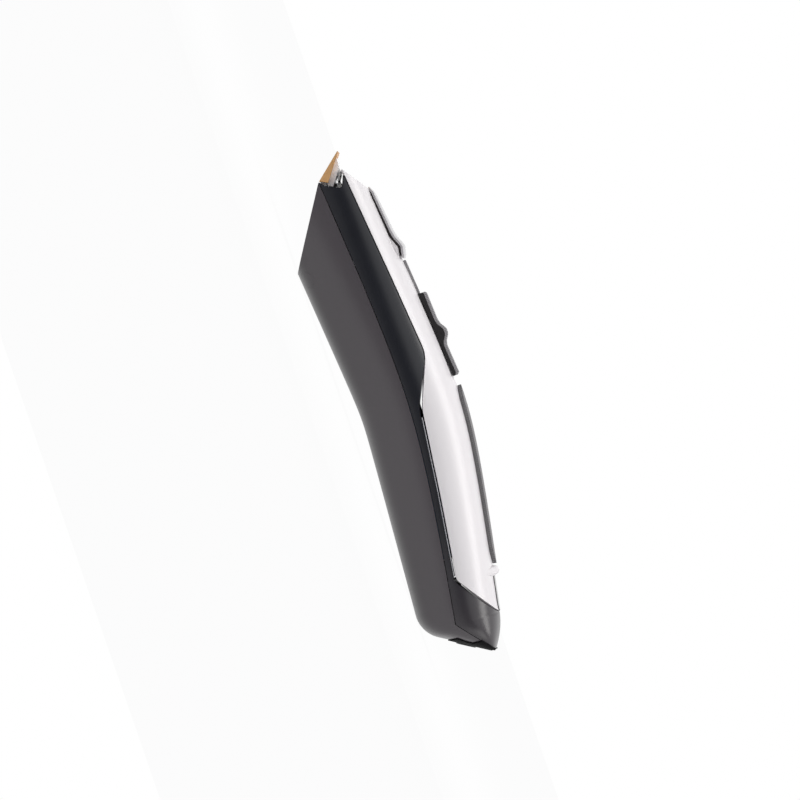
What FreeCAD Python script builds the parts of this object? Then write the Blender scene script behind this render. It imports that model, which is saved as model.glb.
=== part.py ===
import FreeCAD, Part
import Sketcher
import math
import os

# Cordless hair clipper lying on its back: X runs from the blade (-X) to the tail (+X), Y is the
# width and Z goes up through the switch. The origin is on the floor, under the middle of the part.

SIZES = {
    # outer form: two long lines, each straight on both sides of a soft bend at the waist
    "body_length": 187.8, "nose_reach": 7.6, "section_points": 32, "handle_section_step": 14,
    "tail_section_step": 1.6, "section_spread": 1.12, "back_bend_x": 0, "back_rise": 4.6,
    "back_head_slope": 0.088, "back_tail_slope": -0.0685, "back_softness": 6.3, "top_bend_x": 6,
    "top_rise": 41.0, "top_head_slope": 0.112, "top_tail_slope": -0.194, "top_softness": 20.8,
    "head_width": 44, "waist_width": 39.5, "tail_width": 41.5, "waist_x": 8, "back_squareness": 2.8,
    "top_squareness": 2.3, "head_squareness": 4.0, "heel_radius": 11, "tail_face_angle": 58,
    "tail_crown_radius": 25, "tail_plan_radius": 16, "chin_back": 36.9, "lip_height": 18.1,
    "nose_height": 28.2, "brow_length": 9.2, "brow_drop": 6.4, "wall": 2.0, "boss_wall": 1.6,
    "well_wall": 1.4, "tail_wall": 7.5, "seam_gap": 0.25, "seat_gap": 0.08, "running_gap": 0.3,
    "shaft_gap": 0.05,
    # the mouth across the nose, hollowed towards the body
    "lip_reach": 0.6, "mouth_lip": 0.7, "mouth_floor_reach": 2.8, "mouth_floor_rise": 1.7,
    "mouth_depth": 5.4, "mouth_depth_drop": 3.1, "mouth_roof_reach": 3.6, "mouth_roof_drop": 1.9,
    "mouth_floor_radius": 1, "mouth_depth_radius": 1.2, "pocket_height": 7,
    # seams and the light lobe of the front cover
    "seam_bend_x": 2.4, "seam_rise": 22.45, "seam_head_slope": 0.092, "seam_tail_slope": -0.170,
    "seam_softness": 34.8, "band_height": 9.2, "lobe_drop": 7.8, "lobe_corner_x": 65.5,
    "lobe_corner_radius": 2.5, "lobe_gap": 0.95, "crest_run": 21, "lobe_run": 3, "cheek_x": -45,
    "cheek_rise": 1.2, "cheek_radius": 200, "crest_rise": 2.5, "crest_radius": 14, "lobe_start_drop": 6.6,
    "lobe_start_radius": 22, "lobe_band": 3.2, "lobe_radius": 150, "brow_seam_drop": 1.3,
    "trim_height": 0.32, "trim_depth": 1.4, "block_x": 81.3, "seam_corner_x": 80.5, "seam_tail_rise": 1.9,
    # parts on the front
    "plate_start": 15.4, "plate_length": 28.6, "plate_width": 24, "plate_rise": 1.1, "plate_ridge": 2.9,
    "plate_flat": 10, "ridge_rise_run": 5.4, "ridge_top_run": 3.6, "plate_edge_rise": 1.5,
    "plate_seat_depth": 1.3, "track_start": 44.6, "track_width": 10, "track_rise": 0.6,
    "slider_start": 57.6, "slider_length": 32.2, "slider_width": 14, "slider_height": 2.4,
    "slider_hump": 1.9, "hump_offset": -0.8, "hump_foot": 4.5, "hump_top": 0.8, "carrier_depth": 3,
    "channel_gap": 0.12, "channel_side_gap": 0.25, "slider_rise": 0.1, "switch_travel": 8, "stem_length": 8,
    "stem_width": 4, "carrier_length": 10.8, "carrier_width": 10, "carrier_height": 3,
    "contact_height": 1.1, "grip_start": 93.4, "grip_length": 65, "grip_width": 14, "grip_rise": 1.5,
    "ridge_height": 2.1, "ridge_width": 14, "ridge_run": 2.2, "ridge_length": 4, "part_gap": 0.3,
    "window_length": 12, "window_width": 10, "window_rise": 0.35, "light_pipe_length": 3,
    "light_pipe_width": 6,
    # tail
    "pad_rise": 0.7, "pad_width": 26, "pad_run": 8.2, "pad_step_run": 4.8, "pad_low_rise": 2.2,
    "pad_step_rise": 1.4, "pad_shoulder": 3.2, "pad_brow": 0.6, "socket_radius": 3.6, "socket_length": 11, "socket_turn": 11,
    "plug_radius": 1.75, "plug_depth": 8, "contact_thickness": 0.4,
    # blade unit, measured along and across the fixed blade
    "blade_width": 41, "blade_length": 12.7, "blade_heel": 3.0, "blade_heel_step": 1.25, "blade_tip": 0.35,
    "blade_angle": 49.8, "tooth_pitch": 1.6, "tooth_gap": 0.7, "tooth_length": 3.6, "blade_slip": 0.04,
    "cutter_width": 37, "cutter_length": 10.3, "cutter_thickness": 2.15, "cutter_tooth_gap": 0.9,
    "cutter_tooth_length": 3.2, "cutter_stroke": 1.0, "carrier_rise": 1.3, "fork_wall": 1.5,
    "holder_arm": 2.2, "holder_rise": 0.35, "holder_step": 2.8, "holder_height": 6.8, "holder_foot": 1.5,
    "holder_bar": 1.0, "holder_gap": 1.1, "holder_top_reach": 2.4, "screw_line_rise": 1.45,
    "screw_bite": 0.4, "leaf_width": 5, "leaf_y": 11, "clip_width": 4, "clip_y": 9.5,
    "spring_thickness": 0.3, "blade_screw_radius": 0.8, "blade_screw_spacing": 24,
    # drive
    "motor_radius": 11, "motor_length": 30, "motor_z": 22, "motor_front": 30, "can_wall": 1.0,
    "shaft_radius": 1.0, "bearing_radius": 3, "bearing_length": 3, "rotor_radius": 7.2,
    "magnet_thickness": 2.2, "hub_radius": 4, "hub_length": 5, "pin_radius": 1.0, "pin_length": 6.5,
    "hub_clearance": 4, "damper_thickness": 1.2, "damper_length": 3, "bracket_thickness": 1.6,
    "rib_thickness": 2.4, "motor_room": 0.5, "pin_slot_gap": 1.2, "bulkhead_x": 14.4,
    "bulkhead_thickness": 2,
    # power and fastening
    "cell_radius": 9.15, "cell_length": 65, "cell_start": 86, "cell_z": 17.3, "tab_thickness": 0.4,
    "board_length": 66, "board_width": 22, "board_thickness": 1.6, "board_start": 62, "board_z": 30.2,
    "post_radius": 2, "post_inset": 4, "screw_radius": 1.5, "screw_head_radius": 2.8, "screw_head": 1.8,
    "screw_length": 15, "head_screw_x": 40, "head_screw_y": 15, "tail_screw_x": 160, "tail_screw_y": 11,
    "screw_seat": 8.5, "plug_thickness": 1.4,
}

doc = FreeCAD.newDocument("hair_clipper")
sheet = doc.addObject("Spreadsheet::Sheet", "Sizes")
for row, (alias, amount) in enumerate(SIZES.items(), start=1):
    sheet.set("A%d" % row, alias)
    sheet.set("B%d" % row, str(amount))
    sheet.setAlias("B%d" % row, alias)
doc.recompute()


def size(alias):
    """A driving size, read back from the sheet."""
    return float(sheet.get(alias))


def reach(alias):
    """The X position of something measured back from the blade's tip."""
    return size(alias) - size("body_length") / 2


NOSE_X = -size("body_length") / 2 + size("nose_reach")
TAIL_X = size("body_length") / 2
CHIN_X = reach("chin_back")
FAR = size("body_length")
PAST_TAIL = TAIL_X + 2
BEYOND_NOSE = NOSE_X - 6
NODES = []


# ---- helpers -------------------------------------------------------------------------------

def keep(item, label):
    """Marks an object as one of the clipper's pieces."""
    item.Label = label
    NODES.append(item)
    return item


def feature(name, shape):
    item = doc.addObject("Part::Feature", name)
    item.Shape = shape
    return item


def box(name, length, width, height, x, y, z):
    """A box bound to the sheet, its low corner at x, z and centred on y."""
    item = doc.addObject("Part::Box", name)
    item.setExpression("Length", length)
    item.setExpression("Width", width)
    item.setExpression("Height", height)
    item.setExpression("Placement.Base.x", x)
    item.setExpression("Placement.Base.y", "(%s) - (%s) / 2" % (y, width))
    item.setExpression("Placement.Base.z", z)
    return item


def rod(name, radius, length, x, y, z, axis="X"):
    """A cylinder bound to the sheet, running from x, y, z towards +X or +Z."""
    item = doc.addObject("Part::Cylinder", name)
    if axis == "X":
        item.Placement = FreeCAD.Placement(FreeCAD.Vector(), FreeCAD.Rotation(FreeCAD.Vector(0, 1, 0), 90))
    item.setExpression("Radius", radius)
    item.setExpression("Height", length)
    item.setExpression("Placement.Base.x", x)
    item.setExpression("Placement.Base.y", y)
    item.setExpression("Placement.Base.z", z)
    return item


def cut(name, base, tool):
    item = doc.addObject("Part::Cut", name)
    item.Base = base
    item.Tool = tool
    return item


def common(name, base, tool):
    item = doc.addObject("Part::Common", name)
    item.Base = base
    item.Tool = tool
    return item


def fuse(name, pieces):
    item = doc.addObject("Part::MultiFuse", name)
    item.Shapes = pieces
    return item


def group(name, pieces):
    item = doc.addObject("Part::Compound", name)
    item.Links = pieces
    return item


def rounded_outline(corners):
    """A closed wire in the XZ plane from (x, z, radius) corners."""
    count = len(corners)
    starts = []
    ends = []
    mids = []
    for index, (x, z, radius) in enumerate(corners):
        here = FreeCAD.Vector(x, 0, z)
        before = FreeCAD.Vector(corners[index - 1][0], 0, corners[index - 1][1])
        after = FreeCAD.Vector(corners[(index + 1) % count][0], 0, corners[(index + 1) % count][1])
        back = (before - here).normalize()
        ahead = (after - here).normalize()
        half = back.getAngle(ahead) / 2
        trim = radius / math.tan(half)
        starts.append(here + back * trim)
        ends.append(here + ahead * trim)
        middle = back + ahead
        if radius:
            middle = middle.normalize() * (radius / math.sin(half) - radius)
        mids.append(here + middle)
    edges = []
    for index in range(count):
        if corners[index][2]:
            edges.append(Part.Arc(starts[index], mids[index], ends[index]).toShape())
        following = starts[(index + 1) % count]
        if ends[index].distanceToPoint(following) > 1e-6:
            edges.append(Part.LineSegment(ends[index], following).toShape())
    return Part.Wire(edges)


def prism(corners, width, middle_y=0.0):
    """A plate with an XZ outline, centred on middle_y."""
    face = Part.Face(rounded_outline(corners))
    face.translate(FreeCAD.Vector(0, middle_y - width / 2, 0))
    return face.extrude(FreeCAD.Vector(0, width, 0))


def sharp(points):
    return [(x, z, 0) for x, z in points]


def sketch(body, name, role, corners):
    """A closed straight-sided sketch on one of the body's origin planes, each corner bound to the sheet."""
    plane = [item for item in body.Origin.OriginFeatures if item.Role == role][0]
    drawn = body.newObject("Sketcher::SketchObject", name)
    drawn.AttachmentSupport = [(plane, "")]
    drawn.MapMode = "FlatFace"
    spots = [FreeCAD.Vector(sheet.evalExpression(x), sheet.evalExpression(y), 0) for x, y in corners]
    count = len(spots)
    for index in range(count):
        drawn.addGeometry(Part.LineSegment(spots[index], spots[(index + 1) % count]), False)
    for index in range(count):
        drawn.addConstraint(Sketcher.Constraint("Coincident", index, 2, (index + 1) % count, 1))
    for index, (x, y) in enumerate(corners):
        across = drawn.addConstraint(Sketcher.Constraint("DistanceX", -1, 1, index, 1, spots[index].x))
        upward = drawn.addConstraint(Sketcher.Constraint("DistanceY", -1, 1, index, 1, spots[index].y))
        drawn.setExpression("Constraints[%d]" % across, x)
        drawn.setExpression("Constraints[%d]" % upward, y)
    return drawn


# ---- the outer form ------------------------------------------------------------------------

def bent_line(x, line):
    """Height of a long line that is straight on both sides of a soft bend."""
    along = x - size(line + "_bend_x")
    rising = size(line + "_head_slope")
    falling = size(line + "_tail_slope")
    soft = size(line + "_softness")
    bend = math.hypot(along, soft) - soft
    return size(line + "_rise") + (rising + falling) / 2 * along - (rising - falling) / 2 * bend


def back_height(x):
    """The back outline: the bent line, the rounded heel and the leaning tail face."""
    radius = size("heel_radius")
    lean = math.radians(size("tail_face_angle"))
    run = x - heel_start()
    arc_run = radius * math.sin(lean)
    if run <= 0:
        return bent_line(x, "back")
    if run <= arc_run:
        return bent_line(heel_start(), "back") + radius - math.sqrt(radius ** 2 - run ** 2)
    return bent_line(heel_start(), "back") + radius * (1 - math.cos(lean)) + (run - arc_run) * math.tan(lean)


def heel_start():
    """Where the back begins to curl up, so that the tail face meets the crown at the tail's tip."""
    lean = math.radians(size("tail_face_angle"))
    rise = top_height(TAIL_X) - size("wall") - bent_line(TAIL_X, "back")
    straight = (rise - size("heel_radius") * (1 - math.cos(lean))) / math.tan(lean)
    return TAIL_X - straight - size("heel_radius") * math.sin(lean)


def top_height(x):
    """The front outline: the bent line and the crown that rounds it down over the tail block."""
    run = x - size("block_x")
    if run <= 0:
        return bent_line(x, "top")
    radius = size("tail_crown_radius")
    return bent_line(x, "top") - radius + math.sqrt(radius ** 2 - run ** 2)


def half_width(x):
    """Half the width in plan: waisted in the middle, with round corners at the tail."""
    waist = size("waist_x")
    end = size("head_width") if x < waist else size("tail_width")
    span = waist - NOSE_X if x < waist else TAIL_X - waist
    width = size("waist_width") + (end - size("waist_width")) * ((x - waist) / span) ** 2
    radius = size("tail_plan_radius")
    run = x - (TAIL_X - 0.94 * radius)
    corner = radius - math.sqrt(radius ** 2 - run ** 2) if run > 0 else 0
    return width / 2 - corner


def squareness(x, side):
    """How boxy one half of the section is: round in the handle, squarer towards the nose."""
    base = size(side + "_squareness")
    waist = size("waist_x")
    share = ((waist - x) / (waist - NOSE_X)) ** 2 if x < waist else 0
    return base + (size("head_squareness") - base) * share


def section(x, grow):
    """One closed cross-section of the form, offset outwards by grow."""
    low = back_height(x) - grow
    high = top_height(x) + grow
    centre = (low + high) / 2
    wide = half_width(x) + grow
    count = int(size("section_points"))
    points = []
    for index in range(count):
        turn = 2 * math.pi * index / count
        across = math.cos(turn)
        upward = math.sin(turn)
        power = squareness(x, "top" if upward > 0 else "back")
        stretch = (abs(across) ** power + abs(upward) ** power) ** (-1 / power)
        y = wide * stretch * across
        z = centre + (high - low) / 2 * stretch * upward
        points.append(FreeCAD.Vector(x, y, z))
    even_steps = [float(step) for step in range(count + 1)]
    curve = Part.BSplineCurve()
    curve.interpolate(Points=points, PeriodicFlag=True, Parameters=even_steps)
    return Part.Wire(curve.toShape())


def form(grow):
    """The clipper's whole outer form, offset outwards by grow, with its sections closest at the tail."""
    stations = []
    x = TAIL_X
    step = size("tail_section_step")
    while x > NOSE_X - 1:
        stations.append(x)
        x -= step
        step = min(step * size("section_spread"), size("handle_section_step"))
    stations.append(NOSE_X - 1)
    return Part.makeLoft([section(x, grow) for x in reversed(stations)], True, False)


def slab(start, end):
    """All space between two stations along X."""
    return Part.makeBox(end - start, FAR, FAR, FreeCAD.Vector(start, -FAR / 2, -FAR / 2))


def chin_facet(inset):
    """The space below the flat facet under the blade, moved inwards by inset."""
    chin = FreeCAD.Vector(CHIN_X, 0, back_height(CHIN_X))
    lip = FreeCAD.Vector(NOSE_X + size("lip_reach"), 0, size("lip_height"))
    along = (lip - chin).normalize()
    inward = FreeCAD.Vector(along.z, 0, -along.x) * inset
    low = chin - along * FAR / 4 + inward
    high = lip + along * FAR / 4 + inward
    return prism(sharp([(low.x, low.z), (high.x, high.z), (-FAR, high.z), (-FAR, low.z)]), FAR)


def brow_facet(inset):
    """The space above the flat brow over the blade, moved inwards by inset."""
    nose = FreeCAD.Vector(NOSE_X, 0, size("nose_height"))
    along = FreeCAD.Vector(size("brow_length"), 0, size("brow_drop")).normalize()
    inward = FreeCAD.Vector(along.z, 0, -along.x) * inset
    low = nose - along * FAR / 4 + inward
    high = nose + along * FAR / 4 + inward
    return prism(sharp([(low.x, low.z), (high.x, high.z), (-FAR, high.z), (-FAR, low.z)]), FAR)


def mouth_space():
    """The opening across the nose that the blade unit sits in, hollowed towards the body."""
    lip = size("lip_height")
    nose = size("nose_height")
    floor = lip + size("mouth_floor_rise")
    depth = nose - size("mouth_depth_drop")
    roof = nose - size("mouth_roof_drop")
    corners = [(-FAR, lip, 0), (NOSE_X + size("mouth_lip"), lip, 0),
               (NOSE_X + size("mouth_floor_reach"), floor, size("mouth_floor_radius")),
               (NOSE_X + size("mouth_depth"), depth, size("mouth_depth_radius")),
               (NOSE_X + size("mouth_roof_reach"), roof, 0), (NOSE_X, nose, 0), (-FAR, nose, 0)]
    return prism(corners, FAR)


def mouth_pocket():
    """The room between the nose and the bulkhead that the blade unit tilts in."""
    lip = size("lip_height")
    high = lip + size("pocket_height")
    front = NOSE_X - size("lip_reach")
    back = reach("bulkhead_x")
    return prism(sharp([(front, lip), (back, lip), (back, high), (front, high)]), FAR)


# ---- seams ---------------------------------------------------------------------------------

def seam_height(x):
    """The line where the rear shell meets the side band."""
    return bent_line(x, "seam")


def seam_tail_height(x):
    """Height of the seam's straight rise over the tail."""
    corner = size("seam_corner_x")
    low = seam_height(corner)
    high = top_height(TAIL_X) + size("seam_tail_rise")
    return low + (high - low) * (x - corner) / (PAST_TAIL - corner)


def lower_seam(offset):
    """The rear shell's seam from beyond the nose to its corner at the tail, moved up by offset."""
    corner_x = size("seam_corner_x")
    points = []
    for step in range(13):
        x = -FAR / 2 + step * (corner_x + FAR / 2) / 12
        points.append(FreeCAD.Vector(x, 0, seam_height(x) + offset))
    curve = Part.BSplineCurve()
    curve.interpolate(Points=points)
    return curve


def below_seam(offset):
    """All space under the rear shell's seam and its rise over the tail."""
    curve = lower_seam(offset)
    top = FreeCAD.Vector(PAST_TAIL, 0, seam_tail_height(PAST_TAIL) + offset)
    low = FreeCAD.Vector(PAST_TAIL, 0, -FAR / 4)
    back = FreeCAD.Vector(-FAR / 2, 0, -FAR / 4)
    edges = [curve.toShape()]
    for first, second in ((curve.EndPoint, top), (top, low), (low, back), (back, curve.StartPoint)):
        edges.append(Part.LineSegment(first, second).toShape())
    face = Part.Face(Part.Wire(edges))
    face.translate(FreeCAD.Vector(0, -FAR / 4, 0))
    return face.extrude(FreeCAD.Vector(0, FAR / 2, 0))


def cover_seam(offset, lobe_offset):
    """Corners of the line where the front cover meets the band, moved by offset, and more along the lobe."""
    band = size("band_height")
    cheek_x = size("cheek_x")
    crest_x = size("top_bend_x") - size("crest_run")
    lobe_x = size("top_bend_x") - size("lobe_run")
    lobe_end = size("lobe_corner_x")
    middle = (lobe_x + lobe_end) / 2
    low = size("lobe_band") + offset + lobe_offset
    block_x = size("block_x") - offset * 1.2 - lobe_offset * 0.3
    return [
        (BEYOND_NOSE, size("nose_height") - size("brow_seam_drop") + offset, 0),
        (cheek_x, seam_height(cheek_x) + band + size("cheek_rise") + offset, size("cheek_radius")),
        (crest_x, seam_height(crest_x) + band + size("crest_rise") + offset, size("crest_radius")),
        (lobe_x, top_height(lobe_x) - size("lobe_drop") - size("lobe_start_drop") + offset + lobe_offset,
         size("lobe_start_radius")),
        (middle, seam_height(middle) + low, size("lobe_radius")),
        (lobe_end + lobe_offset * -0.7, seam_height(lobe_end) + low, size("lobe_corner_radius")),
        (block_x, top_height(size("block_x")) + offset * 0.3, 0),
        (block_x, FAR / 2, 0),
    ]


def above_seam(offset, lobe_offset):
    """All space over the front cover's seam."""
    corners = cover_seam(offset, lobe_offset)
    corners.append((BEYOND_NOSE, FAR / 2, 0))
    return prism(corners, FAR)


# ---- shells --------------------------------------------------------------------------------

def round_bar(radius, start, end):
    """A cylinder between two points, for a hole or a boss."""
    along = end - start
    return Part.makeCylinder(radius, along.Length, start, along)


def at(x, y, z):
    return FreeCAD.Vector(x, y, z)


def both_sides(y):
    return (-y, y)


def screw_spots():
    """Where the four housing screws stand, as (x, y)."""
    spots = []
    for place in ("head", "tail"):
        for y in both_sides(size(place + "_screw_y")):
            spots.append((reach(place + "_screw_x"), y))
    return spots


def motor_space(gap):
    """The motor with its rubber rings, and gap around them."""
    radius = size("motor_radius") + size("damper_thickness") + gap
    z = size("motor_z")
    return round_bar(radius, at(reach("motor_front") - FAR / 8, 0, z), at(reach("cell_start"), 0, z))


def cell_space(gap):
    """The battery cell with gap around it."""
    start = reach("cell_start") - size("tab_thickness") - gap
    length = size("cell_length") + 2 * (size("tab_thickness") + gap)
    z = size("cell_z")
    return round_bar(size("cell_radius") + gap, at(start, 0, z), at(start + length, 0, z))


def damper_spots():
    """The X positions of the two rubber rings on the motor."""
    first = reach("motor_front") + size("motor_length") / 5
    second = reach("motor_front") + size("motor_length") * 0.7
    return (first, second)


def rib(x, thickness):
    """A cross rib across the whole inside."""
    return Part.makeBox(thickness, FAR, FAR, at(x, -FAR / 2, -FAR / 2))


def tail_frame():
    """Centre of the leaning tail face, and the direction in which it looks."""
    lean = math.radians(size("tail_face_angle"))
    arc_end = heel_start() + size("heel_radius") * math.sin(lean)
    x = (arc_end + TAIL_X) / 2
    return at(x, 0, back_height(x)), at(math.sin(lean), 0, -math.cos(lean))


def socket_bar(radius, out, depth):
    """A cylinder along the charging socket's axis, from out beyond the tail face to depth inside it."""
    centre, outward = tail_frame()
    return round_bar(radius, centre + outward * out, centre - outward * depth)


OUTER = form(0).cut([chin_facet(0), brow_facet(0), mouth_space()])
INSIDE = form(-size("wall"))
VOID = INSIDE.common(slab(NOSE_X + size("wall") + 0.3, TAIL_X - size("tail_wall")))
VOID = VOID.cut([chin_facet(size("wall")), brow_facet(size("wall"))]).fuse(INSIDE.common(mouth_pocket()))


def rear_shell():
    """The back half of the housing, with saddles for the motor and cell and wells for the screws."""
    saddles = [motor_space(size("seat_gap")), cell_space(size("seat_gap"))]
    kept = []
    for x in damper_spots():
        kept.append(rib(x, size("damper_length")).cut(saddles))
    for share in (0.1, 0.5, 0.9):
        x = reach("cell_start") + share * size("cell_length")
        kept.append(rib(x, size("rib_thickness")).cut(saddles))
    holes = [socket_bar(size("socket_radius") + size("seat_gap"), 5, size("socket_length"))]
    seat = size("screw_seat")
    for x, y in screw_spots():
        boss = round_bar(size("screw_head_radius") + size("well_wall"), at(x, y, -5), at(x, y, FAR / 4))
        kept.append(boss.cut(saddles))
        holes.append(round_bar(size("screw_head_radius") + size("running_gap"), at(x, y, -5), at(x, y, seat)))
        holes.append(round_bar(size("screw_radius") + size("shaft_gap"), at(x, y, 0), at(x, y, FAR / 4)))
    zone = below_seam(-size("seam_gap") / 2)
    shell = OUTER.common(zone).cut([VOID.cut(kept)] + holes)
    return keep(feature("RearShell", shell), "rear_shell")


def mid_frame():
    """The side bands joined by the tail block, the bulkhead behind the blades and the screw ribs."""
    bulkhead = rib(reach("bulkhead_x"), size("bulkhead_thickness"))
    slot = 2 * (size("pin_radius") + size("cutter_stroke") + size("pin_slot_gap"))
    axis = size("motor_z")
    x = reach("bulkhead_x")
    bulkhead = bulkhead.cut(round_bar(slot / 2, at(x - 1, 0, axis), at(x + 5, 0, axis)))
    bulkhead = bulkhead.cut(Part.makeBox(6, slot, 10, at(x - 1, -slot / 2, axis - 10)))
    kept = [bulkhead]
    for place in ("head", "tail"):
        plate = rib(reach(place + "_screw_x") - size("rib_thickness") / 2, size("rib_thickness"))
        kept.append(plate.cut(motor_space(size("motor_room"))))
    boss_top = size("screw_seat") + size("screw_length") + 1
    for x, y in screw_spots():
        boss = round_bar(size("screw_radius") + size("boss_wall"), at(x, y, 0), at(x, y, boss_top))
        kept.append(boss.cut(motor_space(size("motor_room"))))
    holes = [socket_bar(size("socket_radius") + size("seat_gap"), 5, size("socket_length") + 1)]
    for x, y in screw_spots():
        holes.append(round_bar(size("screw_radius") + size("shaft_gap"), at(x, y, 0), at(x, y, FAR / 4)))
    gap = size("seam_gap") / 2
    band = OUTER.cut([below_seam(gap), above_seam(-gap, -size("lobe_gap"))])
    return keep(feature("MidFrame", band.cut([VOID.cut(kept)] + holes)), "mid_frame")


def post_spots():
    """Where the front cover's posts hold the circuit board, as (x, y)."""
    start = reach("board_start")
    spots = []
    inset = size("post_inset")
    for x in (start + inset, start + size("board_length") - inset):
        for y in both_sides(size("board_width") / 2 - size("post_radius") - 0.5):
            spots.append((x, y))
    return spots


def tail_ridge(height):
    """The small moulded ridge at the tail end of the grip strip."""
    x = ridge_x()
    crest = x + size("ridge_run")
    end = x + size("ridge_length")
    low = top_height(x) - 1
    corners = [(x - 0.5, low, 0), (x, top_height(x) + 0.5, 0), (crest, top_height(crest) + height, 0.4),
               (end - 0.3, top_height(end - 0.3) + 0.3, 0), (end, low, 0)]
    return prism(corners, size("ridge_width"))


def ridge_x():
    return reach("grip_start") + size("grip_length") + size("part_gap")


def front_cover():
    """The light front cover, with the posts for the board, the switch slot and the plate's seat."""
    kept = []
    holes = [plate_slab(size("seat_gap"), True), switch_slot(), light_hole(size("seat_gap"))]
    top_of_board = size("board_z") + size("board_thickness") + size("seat_gap")
    for x, y in post_spots():
        kept.append(round_bar(size("post_radius"), at(x, y, top_of_board), at(x, y, FAR / 3)))
    tip = size("screw_seat") + size("screw_length") + size("running_gap")
    for x, y in screw_spots():
        if x > 0:
            kept.append(round_bar(size("screw_radius") + size("boss_wall"), at(x, y, 0), at(x, y, FAR / 3)))
            holes.append(round_bar(size("screw_radius") + size("shaft_gap"), at(x, y, 0), at(x, y, tip)))
    cover = OUTER.common(above_seam(size("seam_gap") / 2, 0)).fuse(tail_ridge(size("ridge_height")))
    return keep(feature("FrontCover", cover.cut([VOID.cut(kept)] + holes)), "front_cover")


def chrome_trim():
    """The thin bright strip that follows the lobe, set into the top edge of each side band."""
    gap = size("seam_gap") / 2
    low = -size("lobe_gap") + gap
    strip = above_seam(-gap, low + gap).cut(above_seam(-gap, low + gap + size("trim_height")))
    ends = slab(size("top_bend_x"), size("lobe_corner_x") - 1)
    skin = form(-0.02).cut(form(-size("trim_depth")))
    return keep(feature("ChromeTrim", strip.common(ends).common(skin)), "chrome_trim")


# ---- parts on the front --------------------------------------------------------------------

def plate_slab(gap, open_top):
    """The front plate's outline: a slab let into the crest, with a thumb ridge at its tail end."""
    start = reach("plate_start")
    end = start + size("plate_length")
    rise = size("plate_rise")
    flat = end - size("plate_flat")
    foot = end - size("ridge_rise_run")
    peak = end - size("ridge_top_run")
    deep = size("plate_seat_depth") + gap
    under = [(end + gap, top_height(end) - 0.1 - gap, 0), (flat, top_height(flat) - deep / 2, 0),
             (start - gap, top_height(start) - deep, 0)]
    if open_top:
        return prism(under + sharp([(start - gap, FAR / 3), (end + gap, FAR / 3)]), size("plate_width") + 2 * gap)
    over = [(start + 1.5, top_height(start) + 0.2, 1), (start + 4, top_height(start + 4) + rise - 0.3, 1.5),
            (flat, top_height(flat) + rise, 4), (foot, top_height(foot) + size("plate_ridge"), 1),
            (peak, top_height(peak) + size("plate_ridge"), 1),
            (end - 0.2, top_height(end) + size("plate_edge_rise"), 0.3)]
    return prism(under + over, size("plate_width"))


def front_plate():
    return keep(feature("FrontPlate", plate_slab(0, False)), "front_plate")


def slide_line(x, rise):
    """Height on the straight line that the switch slides along, rise above the cover."""
    first = reach("track_start")
    last = reach("slider_start") + size("slider_length")
    slope = (top_height(last) - top_height(first)) / (last - first)
    middle = (first + last) / 2
    return top_height(middle) + slope * (x - middle) + rise


def slide_axis():
    """The direction in which the switch slides on, towards the head."""
    return at(-1, 0, slide_line(0, 0) - slide_line(1, 0)).normalize()


def bar_along_slide(start, end, low, high, width):
    """A bar between two X positions, with its faces parallel to the slide line."""
    corners = [(start, slide_line(start, low)), (end, slide_line(end, low)),
               (end, slide_line(end, high)), (start, slide_line(start, high))]
    return prism(sharp(corners), width)


def stem_x():
    return reach("slider_start") + size("slider_length") / 2


def switch_slot():
    """The slot through the track and cover that the slider's stem runs in."""
    gap = size("running_gap")
    start = stem_x() - size("stem_length") / 2 - size("switch_travel") - gap
    end = stem_x() + size("stem_length") / 2 + gap
    return bar_along_slide(start, end, -12, 12, size("stem_width") + 2 * gap)


def switch_track():
    """The dark strip let into the crest that the slider runs on."""
    start = reach("track_start")
    end = reach("slider_start") + size("slider_length") - 2
    track = bar_along_slide(start, end, -6, size("track_rise"), size("track_width"))
    track = track.cut([form(size("seat_gap")), switch_slot()])
    return keep(feature("SwitchTrack", track), "switch_track")


def switch_slider():
    """The ribbed thumb slider with its hump, skirts over the track and a stem through the slot."""
    start = reach("slider_start")
    end = start + size("slider_length")
    hump = stem_x() + size("hump_offset")
    foot = size("hump_foot")
    half_top = size("hump_top")
    low = size("slider_rise")
    high = size("slider_height")
    peak = slide_line(hump, high + size("slider_hump"))
    corners = [(start, slide_line(start, low), 0), (end, slide_line(end, low), 0),
               (end, slide_line(end, high), 0.6), (hump + foot, slide_line(hump + foot, high - 0.3), 3),
               (hump + half_top, peak, 0.5), (hump - half_top, peak, 0.5),
               (hump - foot, slide_line(hump - foot, high - 0.3), 3), (start, slide_line(start, high), 0.6)]
    body = prism(corners, size("slider_width"))
    wide = size("track_width") + 2 * size("channel_side_gap")
    depth = size("carrier_depth")
    channel = bar_along_slide(start - 9, end + 9, -depth, size("track_rise") + size("channel_gap"), wide)
    half = size("stem_length") / 2
    stem = bar_along_slide(stem_x() - half, stem_x() + half, carrier_low(), high / 2, size("stem_width"))
    return keep(feature("SwitchSlider", body.cut(channel).fuse(stem)), "switch_slider")


def carrier_low():
    """Height of the carrier's underside from the slide line."""
    return -size("carrier_depth") - size("carrier_height")


def switch_carrier():
    """The block clipped on the slider's stem under the cover."""
    half = size("carrier_length") / 2
    high = -size("carrier_depth")
    block = bar_along_slide(stem_x() - half, stem_x() + half, carrier_low(), high, size("carrier_width"))
    stem = size("stem_length") / 2 + size("shaft_gap")
    hole = bar_along_slide(stem_x() - stem, stem_x() + stem, -20, 20, size("stem_width") + 2 * size("shaft_gap"))
    return keep(feature("SwitchCarrier", block.cut(hole)), "switch_carrier")


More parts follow.
